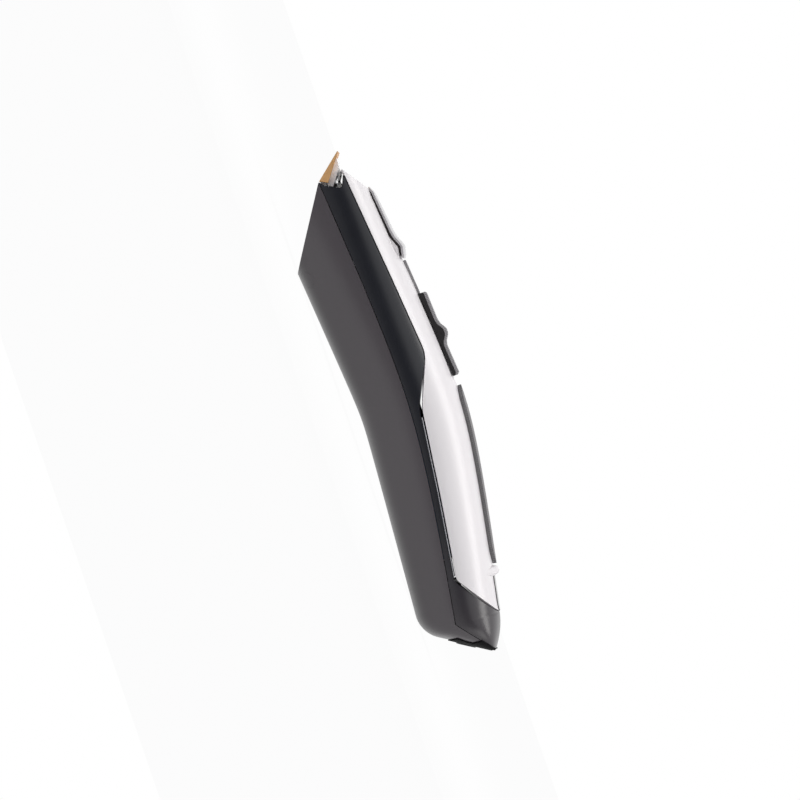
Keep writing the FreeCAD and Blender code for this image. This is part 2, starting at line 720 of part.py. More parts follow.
def switch_contact():
    """The sprung bridge under the carrier that closes the circuit on the board."""
    low = carrier_low() - size("seat_gap")
    pads = []
    for side in (-1, 1):
        x = stem_x() + side * (size("carrier_length") / 2 - 1)
        foot = bar_along_slide(x - 0.8, x + 0.8, low - size("contact_height"), low, size("carrier_width") / 2)
        pads.append(foot)
    half = size("carrier_length") / 2
    strip = bar_along_slide(stem_x() - half, stem_x() + half, low - size("contact_thickness"), low,
                            size("carrier_width") / 2)
    return keep(feature("SwitchContact", strip.fuse(pads[0]).fuse(pads[1])), "switch_contact")


def pill(start, length, width):
    """A straight-sided pill with round ends, seen from above, reaching through the whole height."""
    radius = width / 2
    block = Part.makeBox(length - width, width, FAR, at(start + radius, -radius, 0))
    for x in (start + radius, start + length - radius):
        block = block.fuse(round_bar(radius, at(x, 0, 0), at(x, 0, FAR)))
    return block.removeSplitter()


def proud_skin(high, outline):
    """The part of a layer on the outer form, high above it, that lies in an outline seen from above."""
    above = outline.common(upper_half())
    return form(high).common(above).cut(form(size("seat_gap")))


def upper_half():
    """All space well above the back, so that a layer is kept on the front only."""
    return Part.makeBox(2 * FAR, FAR, FAR, at(-FAR, -FAR / 2, size("seam_rise")))


def grip_strip():
    """The long textured strip on the front of the handle."""
    outline = pill(reach("grip_start"), size("grip_length"), size("grip_width"))
    return keep(feature("GripStrip", proud_skin(size("grip_rise"), outline)), "grip_strip")


def window_start():
    return ridge_x() + size("ridge_length") + size("part_gap")


def indicator_window():
    """The dark window over the charge light, behind the ridge."""
    outline = pill(window_start(), size("window_length"), size("window_width"))
    return keep(feature("IndicatorWindow", proud_skin(size("window_rise"), outline)), "indicator_window")


def light_hole(gap):
    """The opening under the window, gap wider than the light pipe on each side."""
    length = size("light_pipe_length") + 2 * gap
    width = size("light_pipe_width") + 2 * gap
    middle = window_start() + size("window_length") / 2
    floor = top_height(middle) - 2.5 * size("wall")
    return Part.makeBox(length, width, FAR / 4, at(middle - length / 2, -width / 2, floor))


def light_pipe():
    """The clear block that brings the charge light through the cover."""
    pipe = light_hole(0).common(form(-size("seat_gap")))
    return keep(feature("LightPipe", pipe), "light_pipe")


# ---- tail ----------------------------------------------------------------------------------

def tail_pad():
    """The black pad over the tail face, with the charging inlet through it."""
    low_x = TAIL_X - size("pad_run")
    step_x = TAIL_X - size("pad_step_run")
    shoulder = TAIL_X - size("pad_shoulder")
    brow = TAIL_X - size("pad_brow")
    end = PAST_TAIL + 1
    corners = [(low_x, back_height(low_x) + size("pad_low_rise")), (step_x, back_height(step_x) + size("pad_step_rise")),
               (shoulder, seam_tail_height(shoulder)), (brow, seam_tail_height(brow)),
               (end, seam_tail_height(TAIL_X)), (end, 0), (low_x, 0)]
    pad = form(size("pad_rise")).common(prism(sharp(corners), size("pad_width")))
    pad = pad.cut([form(2.5 * size("seat_gap")), socket_bar(size("socket_radius") + size("seat_gap"), 5, 5)])
    return keep(feature("TailPad", pad), "tail_pad")


def charging_socket():
    """The round inlet in the tail face, with a blind bore for the charging plug."""
    body = socket_bar(size("socket_radius"), size("pad_rise"), size("socket_length"))
    bore = socket_bar(size("plug_radius"), size("pad_rise") + 1, size("plug_depth"))
    socket = body.cut(bore)
    centre, outward = tail_frame()
    socket.rotate(centre, outward, size("socket_turn"))
    return keep(feature("ChargingSocket", socket), "charging_socket")


def socket_contacts():
    """The two solder pins at the inner end of the socket."""
    centre, outward = tail_frame()
    pins = []
    for y in both_sides(size("socket_radius") / 2):
        start = centre - outward * (size("socket_length") + size("shaft_gap")) + at(0, y, 0)
        pins.append(round_bar(size("contact_thickness"), start, start - outward * 3))
    return keep(feature("SocketContacts", Part.makeCompound(pins)), "socket_contacts")


# ---- blade unit ----------------------------------------------------------------------------

def heel():
    """The skin-side heel corner of the fixed blade, where the blade unit tilts."""
    return at(NOSE_X + 0.5, 0, size("lip_height") + 0.2)


def blade_frame():
    """Places a piece drawn flat, its tip towards -X, on the leaning blade."""
    turn = FreeCAD.Rotation(at(0, 1, 0), size("blade_angle"))
    return FreeCAD.Placement(heel(), turn)


def face_lean():
    """The angle between the fixed blade's two faces, in degrees."""
    rise = size("blade_heel") - size("blade_tip")
    return math.degrees(math.atan2(rise, size("blade_length") - size("blade_heel_step")))


def cutter_frame():
    """The same for a piece that lies on the fixed blade's inner face."""
    turn = FreeCAD.Rotation(at(0, 1, 0), size("blade_angle") - face_lean())
    corner = blade_frame().multVec(at(-size("blade_heel_step"), 0, size("blade_heel")))
    return FreeCAD.Placement(corner, turn)


def toothed_blade(name, label, outline, length, width, gap, tooth, frame):
    """A flat blade with a row of teeth cut into its thin edge."""
    body = doc.addObject("PartDesign::Body", name)
    profile = sketch(body, name + "Profile", "XZ_Plane", outline)
    pad = body.newObject("PartDesign::Pad", name + "Pad")
    pad.Profile = profile
    pad.SideType = "Symmetric"
    pad.setExpression("Length", width)
    first = "(%s) / 2 - Sizes.tooth_pitch / 2 - (%s) / 2" % (width, gap)
    edge = "-(%s)" % length
    root = "%s + (%s)" % (edge, tooth)
    slot = sketch(body, name + "Slot", "XY_Plane", [
        (edge + " - 1", first), (root, first), (root, first + " + (%s)" % gap), (edge + " - 1", first + " + (%s)" % gap)])
    pocket = body.newObject("PartDesign::Pocket", name + "Gap")
    pocket.Profile = slot
    pocket.Type = "ThroughAll"
    pocket.SideType = "Symmetric"
    doc.recompute()
    row = body.newObject("PartDesign::LinearPattern", name + "Teeth")
    row.Originals = [pocket]
    row.Direction = (slot, ["V_Axis"])
    row.Reversed = True
    row.setExpression("Occurrences", "floor((%s) / Sizes.tooth_pitch)" % width)
    row.setExpression("Length", "Sizes.tooth_pitch * (floor((%s) / Sizes.tooth_pitch) - 1)" % width)
    body.Tip = row
    doc.recompute()
    body.Placement = frame
    return keep(body, label)


def fixed_blade():
    """The wedge-shaped steel blade that lies on the skin."""
    outline = [("0", "0"), ("-Sizes.blade_length", "0"), ("-Sizes.blade_length", "Sizes.blade_tip"),
               ("-Sizes.blade_heel_step", "Sizes.blade_heel")]
    return toothed_blade("FixedBlade", "fixed_blade", outline, "Sizes.blade_length", "Sizes.blade_width",
                         "Sizes.tooth_gap", "Sizes.tooth_length", blade_frame())


def moving_blade():
    """The ceramic blade that slides sideways on the fixed one, notched for the drive fork."""
    tip = "-Sizes.cutter_length + Sizes.blade_heel_step - 0.35"
    top = "Sizes.cutter_thickness"
    outline = [("0.9", "Sizes.blade_slip"), (tip, "Sizes.blade_slip"), (tip, "0.35"),
               (tip + " + 3.2", top), ("0.9", top)]
    blade = toothed_blade("MovingBlade", "moving_blade", outline, "Sizes.cutter_length - Sizes.blade_heel_step + 0.35",
                          "Sizes.cutter_width", "Sizes.cutter_tooth_gap", "Sizes.cutter_tooth_length", cutter_frame())
    half = "(Sizes.pin_radius + 2 * Sizes.cutter_stroke + Sizes.fork_wall + 0.5)"
    notch = sketch(blade, "MovingBladeNotch", "XY_Plane", [
        ("-0.9", "-" + half), ("3", "-" + half), ("3", half), ("-0.9", half)])
    pocket = blade.newObject("PartDesign::Pocket", "MovingBladeRelief")
    pocket.Profile = notch
    pocket.Type = "ThroughAll"
    pocket.SideType = "Symmetric"
    doc.recompute()
    return blade


def cutter_carrier():
    """The pale moulding on the ceramic blade, with the fork that the drive pin works in."""
    low = size("cutter_thickness") + size("seat_gap")
    high = low + size("carrier_rise")
    rail = prism(sharp([(-6.4, low), (-3.2, low), (-3.2, low + 0.4), (-1.8, high - 0.55), (-1.8, high),
                        (-4.2, high - 0.15)]), size("cutter_width") - 3)
    rail.Placement = cutter_frame()
    slot = 2 * size("pin_radius") + 4 * size("cutter_stroke") + 0.4
    outside = slot + 2 * size("fork_wall")
    left = NOSE_X + 2.9
    right = reach("bulkhead_x") - 0.45
    bottom = size("motor_z") - size("pin_radius")
    top = size("motor_z") + size("pin_radius") + size("cutter_stroke") + 0.5
    fork = Part.makeBox(right - left, outside, top + 0.9 - bottom, at(left, -outside / 2, bottom))
    fork = fork.cut(Part.makeBox(9, slot, 9, at(left - 1, -slot / 2, top - 9)))
    bridge = Part.makeBox(right - left + 0.9, outside, 0.9, at(left - 0.9, -outside / 2, top))
    return keep(feature("CutterCarrier", rail.fuse([fork, bridge])), "cutter_carrier")


def holder_back():
    return reach("bulkhead_x") - size("holder_gap")


def holder_low():
    return heel().z + size("holder_rise")


def blade_holder():
    """The black frame that the fixed blade is screwed to: a heel bar, two arms and two top bars."""
    corner = heel()
    width = size("blade_width") - 3
    back = holder_back()
    low = holder_low()
    step = corner.x + size("holder_step")
    foot_high = size("holder_foot")
    bar_high = size("holder_bar")
    reach_back = size("holder_top_reach")
    arm_size = size("holder_arm")
    bar = prism(sharp([(corner.x + 0.32, low), (corner.x + 1.3, low + 1.9), (step, low + 1.75), (step, low)]), width)
    middle = 2 * (size("pin_radius") + 3 * size("cutter_stroke") + size("fork_wall") + 1)
    pieces = []
    for side in (-1, 1):
        inner = middle / 2
        outer = width / 2 - 3
        y = side * (inner + outer) / 2
        side_y = y - (outer - inner) / 2
        foot = Part.makeBox(back - step + 0.5, outer - inner, foot_high, at(step - 0.5, side_y, low))
        arm_y = side * (outer - arm_size / 2) - arm_size / 2
        arm = Part.makeBox(foot_high, arm_size, size("holder_height"), at(back - foot_high, arm_y, low))
        top_low = low + size("holder_height") - bar_high
        top = Part.makeBox(reach_back, outer - inner, bar_high, at(back - reach_back, side_y, top_low))
        pieces += [foot, arm, top]
    frame = bar.fuse(pieces)
    holes = []
    for tip, seat in blade_screw_lines():
        holes.append(round_bar(size("blade_screw_radius") + size("shaft_gap"), tip, seat))
        holes.append(round_bar(blade_screw_head() + size("shaft_gap"), seat, at(back + 1, seat.y, seat.z)))
    return keep(feature("BladeHolder", frame.cut(holes)), "blade_holder")


def blade_screw_head():
    """The radius of the low heads of the blade's screws."""
    return size("blade_screw_radius") + 0.45


def blade_screw_lines():
    """The two screws through the heel bar into the fixed blade, each as (tip, head seat)."""
    z = heel().z + size("screw_line_rise")
    lines = []
    for y in both_sides(size("blade_screw_spacing") / 2):
        lines.append((at(heel().x - size("screw_bite"), y, z), at(heel().x + size("holder_step"), y, z)))
    return lines


def blade_screws():
    """The two screws that hold the fixed blade, with low round heads."""
    screws = []
    for tip, seat in blade_screw_lines():
        head = round_bar(blade_screw_head(), seat, seat + at(0.8, 0, 0))
        screws.append(round_bar(size("blade_screw_radius"), tip, seat).fuse(head))
    return keep(feature("BladeScrews", Part.makeCompound(screws)), "blade_screws")


def blade_springs():
    """The two leaf springs under the top bars that press the moving blade down."""
    back = holder_back()
    high = holder_low() + size("holder_height") - size("holder_bar") - size("shaft_gap")
    thick = size("spring_thickness")
    corners = sharp([(back - 0.3, high), (back - 2.3, high), (back - 3.1, high - 0.65), (back - 2.9, high - 0.85),
                     (back - 2.2, high - thick), (back - 0.3, high - thick)])
    leaves = []
    for side in (-1, 1):
        leaves.append(prism(corners, size("leaf_width"), side * size("leaf_y")))
    return keep(feature("BladeSprings", Part.makeCompound(leaves)), "blade_springs")


def latch_spring():
    """The sprung clip on the bulkhead that snaps over the holder's top bars."""
    back = holder_back()
    wall = reach("bulkhead_x") - size("seat_gap")
    low = size("motor_z") - 1
    high = holder_low() + size("holder_height") + size("running_gap")
    thick = size("spring_thickness")
    clips = []
    for side in (-1, 1):
        corners = sharp([(wall, low), (wall, high + thick), (back + 0.1, high + thick), (back + 0.1, high),
                         (wall - thick, high), (wall - thick, low)])
        clips.append(prism(corners, size("clip_width"), side * size("clip_y")))
    return keep(feature("LatchSpring", Part.makeCompound(clips)), "latch_spring")


def fixed_blade_holes(blade):
    """The threaded holes in the fixed blade that take its screws."""
    tools = [round_bar(size("blade_screw_radius") + size("shaft_gap"), tip - at(0.2, 0, 0), seat)
             for tip, seat in blade_screw_lines()]
    holes = feature("FixedBladeHoles", Part.makeCompound(tools))
    NODES.remove(blade)
    blade.Label = "fixed_blade_plain"
    return keep(cut("FixedBladeDrilled", blade, holes), "fixed_blade")


# ---- drive ---------------------------------------------------------------------------------

FRONT = "(Sizes.motor_front - Sizes.body_length / 2)"
REAR = "(%s + Sizes.motor_length)" % FRONT
AXIS = "Sizes.motor_z"
CAP = "1.6"


def motor_can():
    """The drawn steel can with its front bearing boss."""
    can = rod("CanBody", "Sizes.motor_radius", "Sizes.motor_length - %s" % CAP, FRONT, "0", AXIS)
    boss = rod("CanBoss", "Sizes.bearing_radius + Sizes.can_wall", "1.5", FRONT + " - 1.5", "0", AXIS)
    solid = fuse("CanSolid", [can, boss])
    room = rod("CanRoom", "Sizes.motor_radius - Sizes.can_wall", "Sizes.motor_length", FRONT + " + 1.2", "0", AXIS)
    seat = rod("CanSeat", "Sizes.bearing_radius + Sizes.shaft_gap", "6", FRONT + " - 2", "0", AXIS)
    hollow = fuse("CanHollow", [room, seat])
    return keep(cut("MotorCan", solid, hollow), "motor_can")


def motor_endcap():
    """The moulded end cap that closes the can and holds the rear bearing."""
    disc = rod("CapDisc", "Sizes.motor_radius", CAP, REAR + " - %s" % CAP, "0", AXIS)
    hub = rod("CapHub", "Sizes.bearing_radius + Sizes.can_wall", "2.5", REAR + " - %s" % CAP, "0", AXIS)
    seat = rod("CapSeat", "Sizes.bearing_radius + Sizes.shaft_gap", "6", REAR + " - 3", "0", AXIS)
    return keep(cut("MotorEndcap", fuse("CapSolid", [disc, hub]), seat), "motor_endcap")


def motor_bearings():
    """The two plain bearings that carry the shaft."""
    front = rod("FrontBush", "Sizes.bearing_radius", "Sizes.bearing_length", FRONT + " - 1.5", "0", AXIS)
    rear = rod("RearBush", "Sizes.bearing_radius", "Sizes.bearing_length", REAR + " - 1.8", "0", AXIS)
    bore = rod("BushBore", "Sizes.shaft_radius + Sizes.shaft_gap", "Sizes.motor_length + 10", FRONT + " - 5", "0", AXIS)
    return keep(cut("MotorBearings", group("Bushes", [front, rear]), bore), "motor_bearings")


def motor_magnets():
    """The two arc magnets inside the can, parted by a gap on each side."""
    outside = "Sizes.motor_radius - Sizes.can_wall - Sizes.seat_gap"
    length = "Sizes.motor_length - 9"
    start = FRONT + " + 4"
    ring = rod("MagnetRing", outside, length, start, "0", AXIS)
    bore = rod("MagnetBore", outside + " - Sizes.magnet_thickness", length + " + 2", start + " - 1", "0", AXIS)
    gap = box("MagnetGap", length + " + 2", "2 * Sizes.motor_radius", "4", start + " - 1", "0", AXIS + " - 2")
    return keep(cut("MotorMagnets", cut("MagnetTube", ring, bore), gap), "motor_magnets")


def motor_rotor():
    """The wound core on its long shaft."""
    tip = FRONT + " - Sizes.hub_clearance - Sizes.hub_length + 1.5"
    shaft = rod("RotorShaft", "Sizes.shaft_radius", "Sizes.motor_length + Sizes.hub_clearance + Sizes.hub_length + 1",
                tip, "0", AXIS)
    core = rod("RotorCore", "Sizes.rotor_radius", "Sizes.motor_length - 12", FRONT + " + 5", "0", AXIS)
    return keep(fuse("MotorRotor", [shaft, core]), "motor_rotor")


def drive_eccentric():
    """The hub on the shaft, with the offset pin that works the fork."""
    start = FRONT + " - Sizes.hub_clearance - Sizes.hub_length"
    hub = rod("EccentricHub", "Sizes.hub_radius", "Sizes.hub_length", start, "0", AXIS)
    bore = rod("EccentricBore", "Sizes.shaft_radius + 0.02", "Sizes.hub_length", start + " + 1.45", "0", AXIS)
    pin = rod("EccentricPin", "Sizes.pin_radius", "Sizes.pin_length + 1", start + " - Sizes.pin_length", "0",
              AXIS + " + Sizes.cutter_stroke")
    return keep(fuse("DriveEccentric", [cut("EccentricDrilled", hub, bore), pin]), "drive_eccentric")


def motor_dampers():
    """The two rubber rings between the motor and the rear shell's saddles."""
    rings = []
    for x in damper_spots():
        outside = round_bar(size("motor_radius") + size("damper_thickness"), at(x, 0, size("motor_z")),
                            at(x + size("damper_length"), 0, size("motor_z")))
        inside = round_bar(size("motor_radius") + size("shaft_gap"), at(x - 1, 0, size("motor_z")),
                           at(x + size("damper_length") + 1, 0, size("motor_z")))
        rings.append(outside.cut(inside))
    return keep(feature("MotorDampers", Part.makeCompound(rings)), "motor_dampers")


def motor_bracket():
    """The plate in front of the motor that locates its boss between the shells."""
    end = reach("motor_front") - size("seat_gap")
    start = end - size("bracket_thickness")
    fit = -size("wall") - size("running_gap")
    plate = form(fit).common(slab(start, end)).cut(chin_facet(-fit))
    radius = size("bearing_radius") + size("can_wall") + size("shaft_gap")
    z = size("motor_z")
    hole = round_bar(radius, at(start - 1, 0, z), at(end + 1, 0, z))
    window = Part.makeBox(5, FAR, FAR, at(start - 1, -FAR / 2, z + size("motor_radius") - 2))
    return keep(feature("MotorBracket", plate.cut([hole, window])), "motor_bracket")


# ---- power and fastening -------------------------------------------------------------------

CELL = "(Sizes.cell_start - Sizes.body_length / 2)"


def battery_cell():
    """The round rechargeable cell with its raised positive end."""
    can = rod("CellCan", "Sizes.cell_radius", "Sizes.cell_length - 1", CELL + " + 1", "0", "Sizes.cell_z")
    nub = rod("CellNub", "Sizes.cell_radius / 3", "2", CELL, "0", "Sizes.cell_z")
    return keep(fuse("BatteryCell", [can, nub]), "battery_cell")


def battery_tabs():
    """The two welded contact tabs on the cell's ends."""
    start = reach("cell_start")
    z = size("cell_z")
    thick = size("tab_thickness")
    tabs = []
    for x in (start - thick - 0.02, start + size("cell_length") + 0.02):
        rise = size("board_z") - z - size("running_gap")
        tabs.append(Part.makeBox(thick, 6, rise + 2, at(x, -3, z - 2)))
    return keep(feature("BatteryTabs", Part.makeCompound(tabs)), "battery_tabs")


def circuit_board():
    """The board under the front cover, with a notch for the front tab."""
    body = doc.addObject("PartDesign::Body", "CircuitBoard")
    low = "Sizes.board_start - Sizes.body_length / 2"
    high = low + " + Sizes.board_length"
    half = "Sizes.board_width / 2"
    outline = sketch(body, "BoardOutline", "XY_Plane", [
        (low, "-" + half), (high, "-" + half), (high, half), (low, half)])
    pad = body.newObject("PartDesign::Pad", "BoardPad")
    pad.Profile = outline
    pad.setExpression("Length", "Sizes.board_thickness")
    doc.recompute()
    body.setExpression("Placement.Base.z", "Sizes.board_z")
    return keep(body, "circuit_board")


def board_components():
    """The parts soldered on the board: switch pads, chips, the coil and the charge light."""
    top = size("board_z") + size("board_thickness")
    pads_x = stem_x()
    pieces = []
    for x in (pads_x - 5, pads_x + 5):
        pieces.append(Part.makeBox(2.4, 5, 0.2, at(x - 1.2, -2.5, top)))
    start = reach("board_start")
    for share, length, width, height in ((0.42, 7, 7, 1.2), (0.58, 5, 4, 1.4), (0.72, 6, 6, 3)):
        x = start + share * size("board_length")
        pieces.append(Part.makeBox(length, width, height, at(x, -width / 2, top)))
    return keep(feature("BoardComponents", Part.makeCompound(pieces)), "board_components")


def housing_screws():
    """The four screws that hold the shells together, driven in from the back."""
    screws = []
    seat = size("screw_seat")
    for x, y in screw_spots():
        head = round_bar(size("screw_head_radius"), at(x, y, seat - size("screw_head")), at(x, y, seat))
        slot = Part.makeBox(3.4, 0.8, 0.9, at(x - 1.7, y - 0.4, seat - size("screw_head")))
        cross = Part.makeBox(0.8, 3.4, 0.9, at(x - 0.4, y - 1.7, seat - size("screw_head")))
        shank = round_bar(size("screw_radius"), at(x, y, seat), at(x, y, seat + size("screw_length")))
        screws.append(head.fuse(shank).cut([slot, cross]))
    return keep(feature("HousingScrews", Part.makeCompound(screws)), "housing_screws")


def screw_plugs():
    """The four plugs that close the screw wells flush with the back."""
    skin = OUTER.cut(form(-size("plug_thickness")))
    radius = size("screw_head_radius") + size("running_gap") - size("shaft_gap")
    high = size("screw_seat") - size("screw_head") - size("running_gap")
    plugs = []
    for x, y in screw_spots():
        plugs.append(skin.common(round_bar(radius, at(x, y, -1), at(x, y, high))))
    return keep(feature("ScrewPlugs", Part.makeCompound(plugs)), "screw_plugs")


# ---- build ---------------------------------------------------------------------------------

SHELLS = (rear_shell, mid_frame, front_cover, chrome_trim)
FRONT_PARTS = (front_plate, switch_track, switch_slider, switch_carrier, switch_contact, grip_strip,
               indicator_window, light_pipe)
TAIL_PARTS = (tail_pad, charging_socket, socket_contacts)
BLADE_PARTS = (moving_blade, cutter_carrier, blade_holder, blade_screws, blade_springs, latch_spring)
DRIVE_PARTS = (motor_can, motor_endcap, motor_bearings, motor_magnets, motor_rotor, drive_eccentric,
               motor_dampers, motor_bracket)
POWER_PARTS = (battery_cell, battery_tabs, circuit_board, board_components, housing_screws,
               screw_plugs)

fixed_blade_holes(fixed_blade())
for make in SHELLS + FRONT_PARTS + TAIL_PARTS + BLADE_PARTS + DRIVE_PARTS + POWER_PARTS:
    make()
doc.recompute()

for item in doc.Objects:
    if "Invalid" in item.State or "Error" in item.State:
        raise RuntimeError("%s did not build: %s" % (item.Name, item.State))
for node in NODES:
    if node.Shape.isNull() or not node.Shape.isValid() or not node.Shape.Solids:
        raise RuntimeError("%s has no valid solid" % node.Label)

os.makedirs("parts", exist_ok=True)
for node in NODES:
    node.Shape.exportStep("parts/%s.step" % node.Label)
    print("%-18s %d solids, %.1f mm3" % (node.Label, len(node.Shape.Solids), node.Shape.Volume))
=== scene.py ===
import math

import bmesh
import bpy
from mathutils import Matrix, Vector


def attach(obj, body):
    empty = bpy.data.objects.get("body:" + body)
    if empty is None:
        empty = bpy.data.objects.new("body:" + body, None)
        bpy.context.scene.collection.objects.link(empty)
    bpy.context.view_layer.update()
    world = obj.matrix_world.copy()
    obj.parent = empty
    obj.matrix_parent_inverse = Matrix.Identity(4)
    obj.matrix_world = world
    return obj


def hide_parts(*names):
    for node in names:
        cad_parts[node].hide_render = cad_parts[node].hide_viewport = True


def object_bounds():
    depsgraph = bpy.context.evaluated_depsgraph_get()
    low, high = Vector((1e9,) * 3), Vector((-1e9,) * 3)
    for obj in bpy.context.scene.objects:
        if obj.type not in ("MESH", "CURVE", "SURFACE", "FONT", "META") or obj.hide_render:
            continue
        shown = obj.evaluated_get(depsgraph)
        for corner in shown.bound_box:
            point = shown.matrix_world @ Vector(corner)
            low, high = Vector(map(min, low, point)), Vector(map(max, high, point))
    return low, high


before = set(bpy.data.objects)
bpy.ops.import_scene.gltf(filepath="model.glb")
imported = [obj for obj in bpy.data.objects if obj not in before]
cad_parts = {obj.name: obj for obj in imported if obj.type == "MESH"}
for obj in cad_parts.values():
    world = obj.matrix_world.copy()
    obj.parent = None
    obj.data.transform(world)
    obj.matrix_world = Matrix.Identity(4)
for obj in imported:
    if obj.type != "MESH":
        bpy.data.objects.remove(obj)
cad_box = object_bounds()

# ---- camera -----------------------------------------------------------------------------------
# A long lens looks square at the clipper's side from far off, and the camera is rolled so that
# the clipper, which lies along X, stands up and leans in the view.
middle = (cad_box[0] + cad_box[1]) / 2
framing_shift = Vector((-0.0022, 0, -0.0022))
aim = middle + framing_shift
lens_mm = 625
camera_distance = 5.0
elevation = math.radians(0.6)
roll = math.radians(70.98)

camera_data = bpy.data.cameras.new("camera")
camera_data.lens = lens_mm
camera_data.sensor_width = 36
camera_data.clip_start = 0.05
camera_data.clip_end = 20
camera = bpy.data.objects.new("camera", camera_data)
bpy.context.scene.collection.objects.link(camera)
turn = Matrix.Rotation(math.pi / 2 - elevation, 4, "X") @ Matrix.Rotation(roll, 4, "Z")
camera.matrix_world = Matrix.Translation(aim + turn.to_3x3() @ Vector((0, 0, camera_distance))) @ turn
bpy.context.scene.camera = camera

# ---- floor, room and lamps --------------------------------------------------------------------
# A pale floor lies under the clipper in a white room. A broad lamp hangs over it, weaker ones
# stand off the tail and the head, and a dark card beside the lens keeps the near side calm.
bpy.context.scene.view_settings.view_transform = "Standard"


def clear_tree(owner):
    """Empties a node tree and returns its nodes and links."""
    owner.use_nodes = True
    owner.node_tree.nodes.clear()
    return owner.node_tree.nodes, owner.node_tree.links


def seen_white(nodes, links, camera_share, mirror_share):
    """How much of the room's plain white camera rays meet, and how much mirror and glass rays do."""
    path = nodes.new("ShaderNodeLightPath")
    mirrored = nodes.new("ShaderNodeMath")
    mirrored.operation = "MAXIMUM"
    links.new(path.outputs["Is Glossy Ray"], mirrored.inputs[0])
    links.new(path.outputs["Is Transmission Ray"], mirrored.inputs[1])
    part = nodes.new("ShaderNodeMath")
    part.operation = "MULTIPLY"
    part.inputs[1].default_value = mirror_share
    links.new(mirrored.outputs[0], part.inputs[0])
    whole = nodes.new("ShaderNodeMath")
    whole.operation = "MULTIPLY_ADD"
    whole.inputs[1].default_value = camera_share
    links.new(path.outputs["Is Camera Ray"], whole.inputs[0])
    links.new(part.outputs[0], whole.inputs[2])
    return whole.outputs[0]


room = bpy.data.worlds.new("white_room")
bpy.context.scene.world = room
nodes, links = clear_tree(room)
lit = nodes.new("ShaderNodeBackground")
lit.inputs["Color"].default_value = (0.91, 0.91, 1, 1)
lit.inputs["Strength"].default_value = 0.44
plain = nodes.new("ShaderNodeBackground")
plain.inputs["Color"].default_value = (1, 1, 1, 1)
plain.inputs["Strength"].default_value = 1
mix = nodes.new("ShaderNodeMixShader")
links.new(seen_white(nodes, links, 1, 1), mix.inputs["Fac"])
links.new(lit.outputs[0], mix.inputs[1])
links.new(plain.outputs[0], mix.inputs[2])
links.new(mix.outputs[0], nodes.new("ShaderNodeOutputWorld").inputs["Surface"])

floor_paint = bpy.data.materials.new("floor_paint")
nodes, links = clear_tree(floor_paint)
paper = nodes.new("ShaderNodeBsdfDiffuse")
paper.inputs["Color"].default_value = (0.75, 0.75, 0.75, 1)
glow = nodes.new("ShaderNodeEmission")
mix = nodes.new("ShaderNodeMixShader")
links.new(seen_white(nodes, links, 0.96, 0.8), mix.inputs["Fac"])
links.new(paper.outputs[0], mix.inputs[1])
links.new(glow.outputs[0], mix.inputs[2])
links.new(mix.outputs[0], nodes.new("ShaderNodeOutputMaterial").inputs["Surface"])


def staged(name, bm, paint):
    """Makes a bmesh into a painted thing that stands round the clipper and isn't part of it."""
    mesh = bpy.data.meshes.new(name)
    bm.to_mesh(mesh)
    bm.free()
    mesh.materials.append(paint)
    thing = bpy.data.objects.new(name, mesh)
    bpy.context.scene.collection.objects.link(thing)
    return thing


bm = bmesh.new()
bmesh.ops.create_grid(bm, x_segments=1, y_segments=1, size=3)
staged("floor", bm, floor_paint)

card_paint = bpy.data.materials.new("card_paint")
nodes, links = clear_tree(card_paint)
black = nodes.new("ShaderNodeBsdfDiffuse")
black.inputs["Color"].default_value = (0.05, 0.05, 0.055, 1)
links.new(black.outputs[0], nodes.new("ShaderNodeOutputMaterial").inputs["Surface"])
bm = bmesh.new()
bmesh.ops.create_grid(bm, x_segments=1, y_segments=1, size=0.5)
card_height = 0.36
bmesh.ops.scale(bm, vec=(1.0, card_height, 1), verts=bm.verts)
bmesh.ops.rotate(bm, matrix=Matrix.Rotation(math.pi / 2, 3, "X"), verts=bm.verts)
card_place = (0, -0.7, 0.2)
bmesh.ops.translate(bm, vec=card_place, verts=bm.verts)
card = staged("lens_card", bm, card_paint)
card.visible_camera = False


def soft_lamp(name, place, length, width, watts):
    """A soft box that looks at the middle of the clipper."""
    data = bpy.data.lights.new(name, "AREA")
    data.shape = "RECTANGLE"
    data.size = length
    data.size_y = width
    data.energy = watts
    data.color = (1, 0.985, 0.96)
    lamp = bpy.data.objects.new(name, data)
    lamp.location = place
    lamp.rotation_mode = "QUATERNION"
    lamp.rotation_quaternion = (Vector(place) - middle).to_track_quat("Z", "Y")
    bpy.context.scene.collection.objects.link(lamp)


soft_lamp("top_lamp", (0.02, -0.12, 0.72), 0.9, 0.3, 3.8)
soft_lamp("tail_lamp", (0.75, -0.5, 0.3), 0.5, 0.5, 1.1)
soft_lamp("head_lamp", (-0.6, -0.4, 0.16), 0.3, 0.3, 0.45)

# ---- rear shell -------------------------------------------------------------------------------
# The back half of the handle: one injection moulding in dark grey ABS with a soft satin coat.
# It meets the side band along a long seam, and four screws stand in wells moulded into it.
MM = 0.001
NOSE_X = -86.3
TAIL_X = 93.9
CHIN_X = -57.0
LIP_Z = 18.1
NOSE_Z = 28.2
SEAM_GAP = 0.25
WALL = 1.4
TOP_LINE = (6, 41.0, 0.112, -0.194, 20.8)
BACK_LINE = (0, 4.6, 0.088, -0.0685, 6.3)
SEAM_LINE = (2.4, 22.45, 0.092, -0.170, 34.8)
SEAM_CORNER_X = 80.5
SEAM_TAIL_RISE = 1.9
BLOCK_X = 81.3
CROWN_RADIUS = 25
WAIST_X = 8
HEAD_WIDTH = 44
WAIST_WIDTH = 39.5
TAIL_WIDTH = 41.5
CORNER_RADIUS = 16
CORNER_SHARE = 0.94
TOP_POWER = 2.3
BACK_POWER = 2.8
HEAD_POWER = 4.0


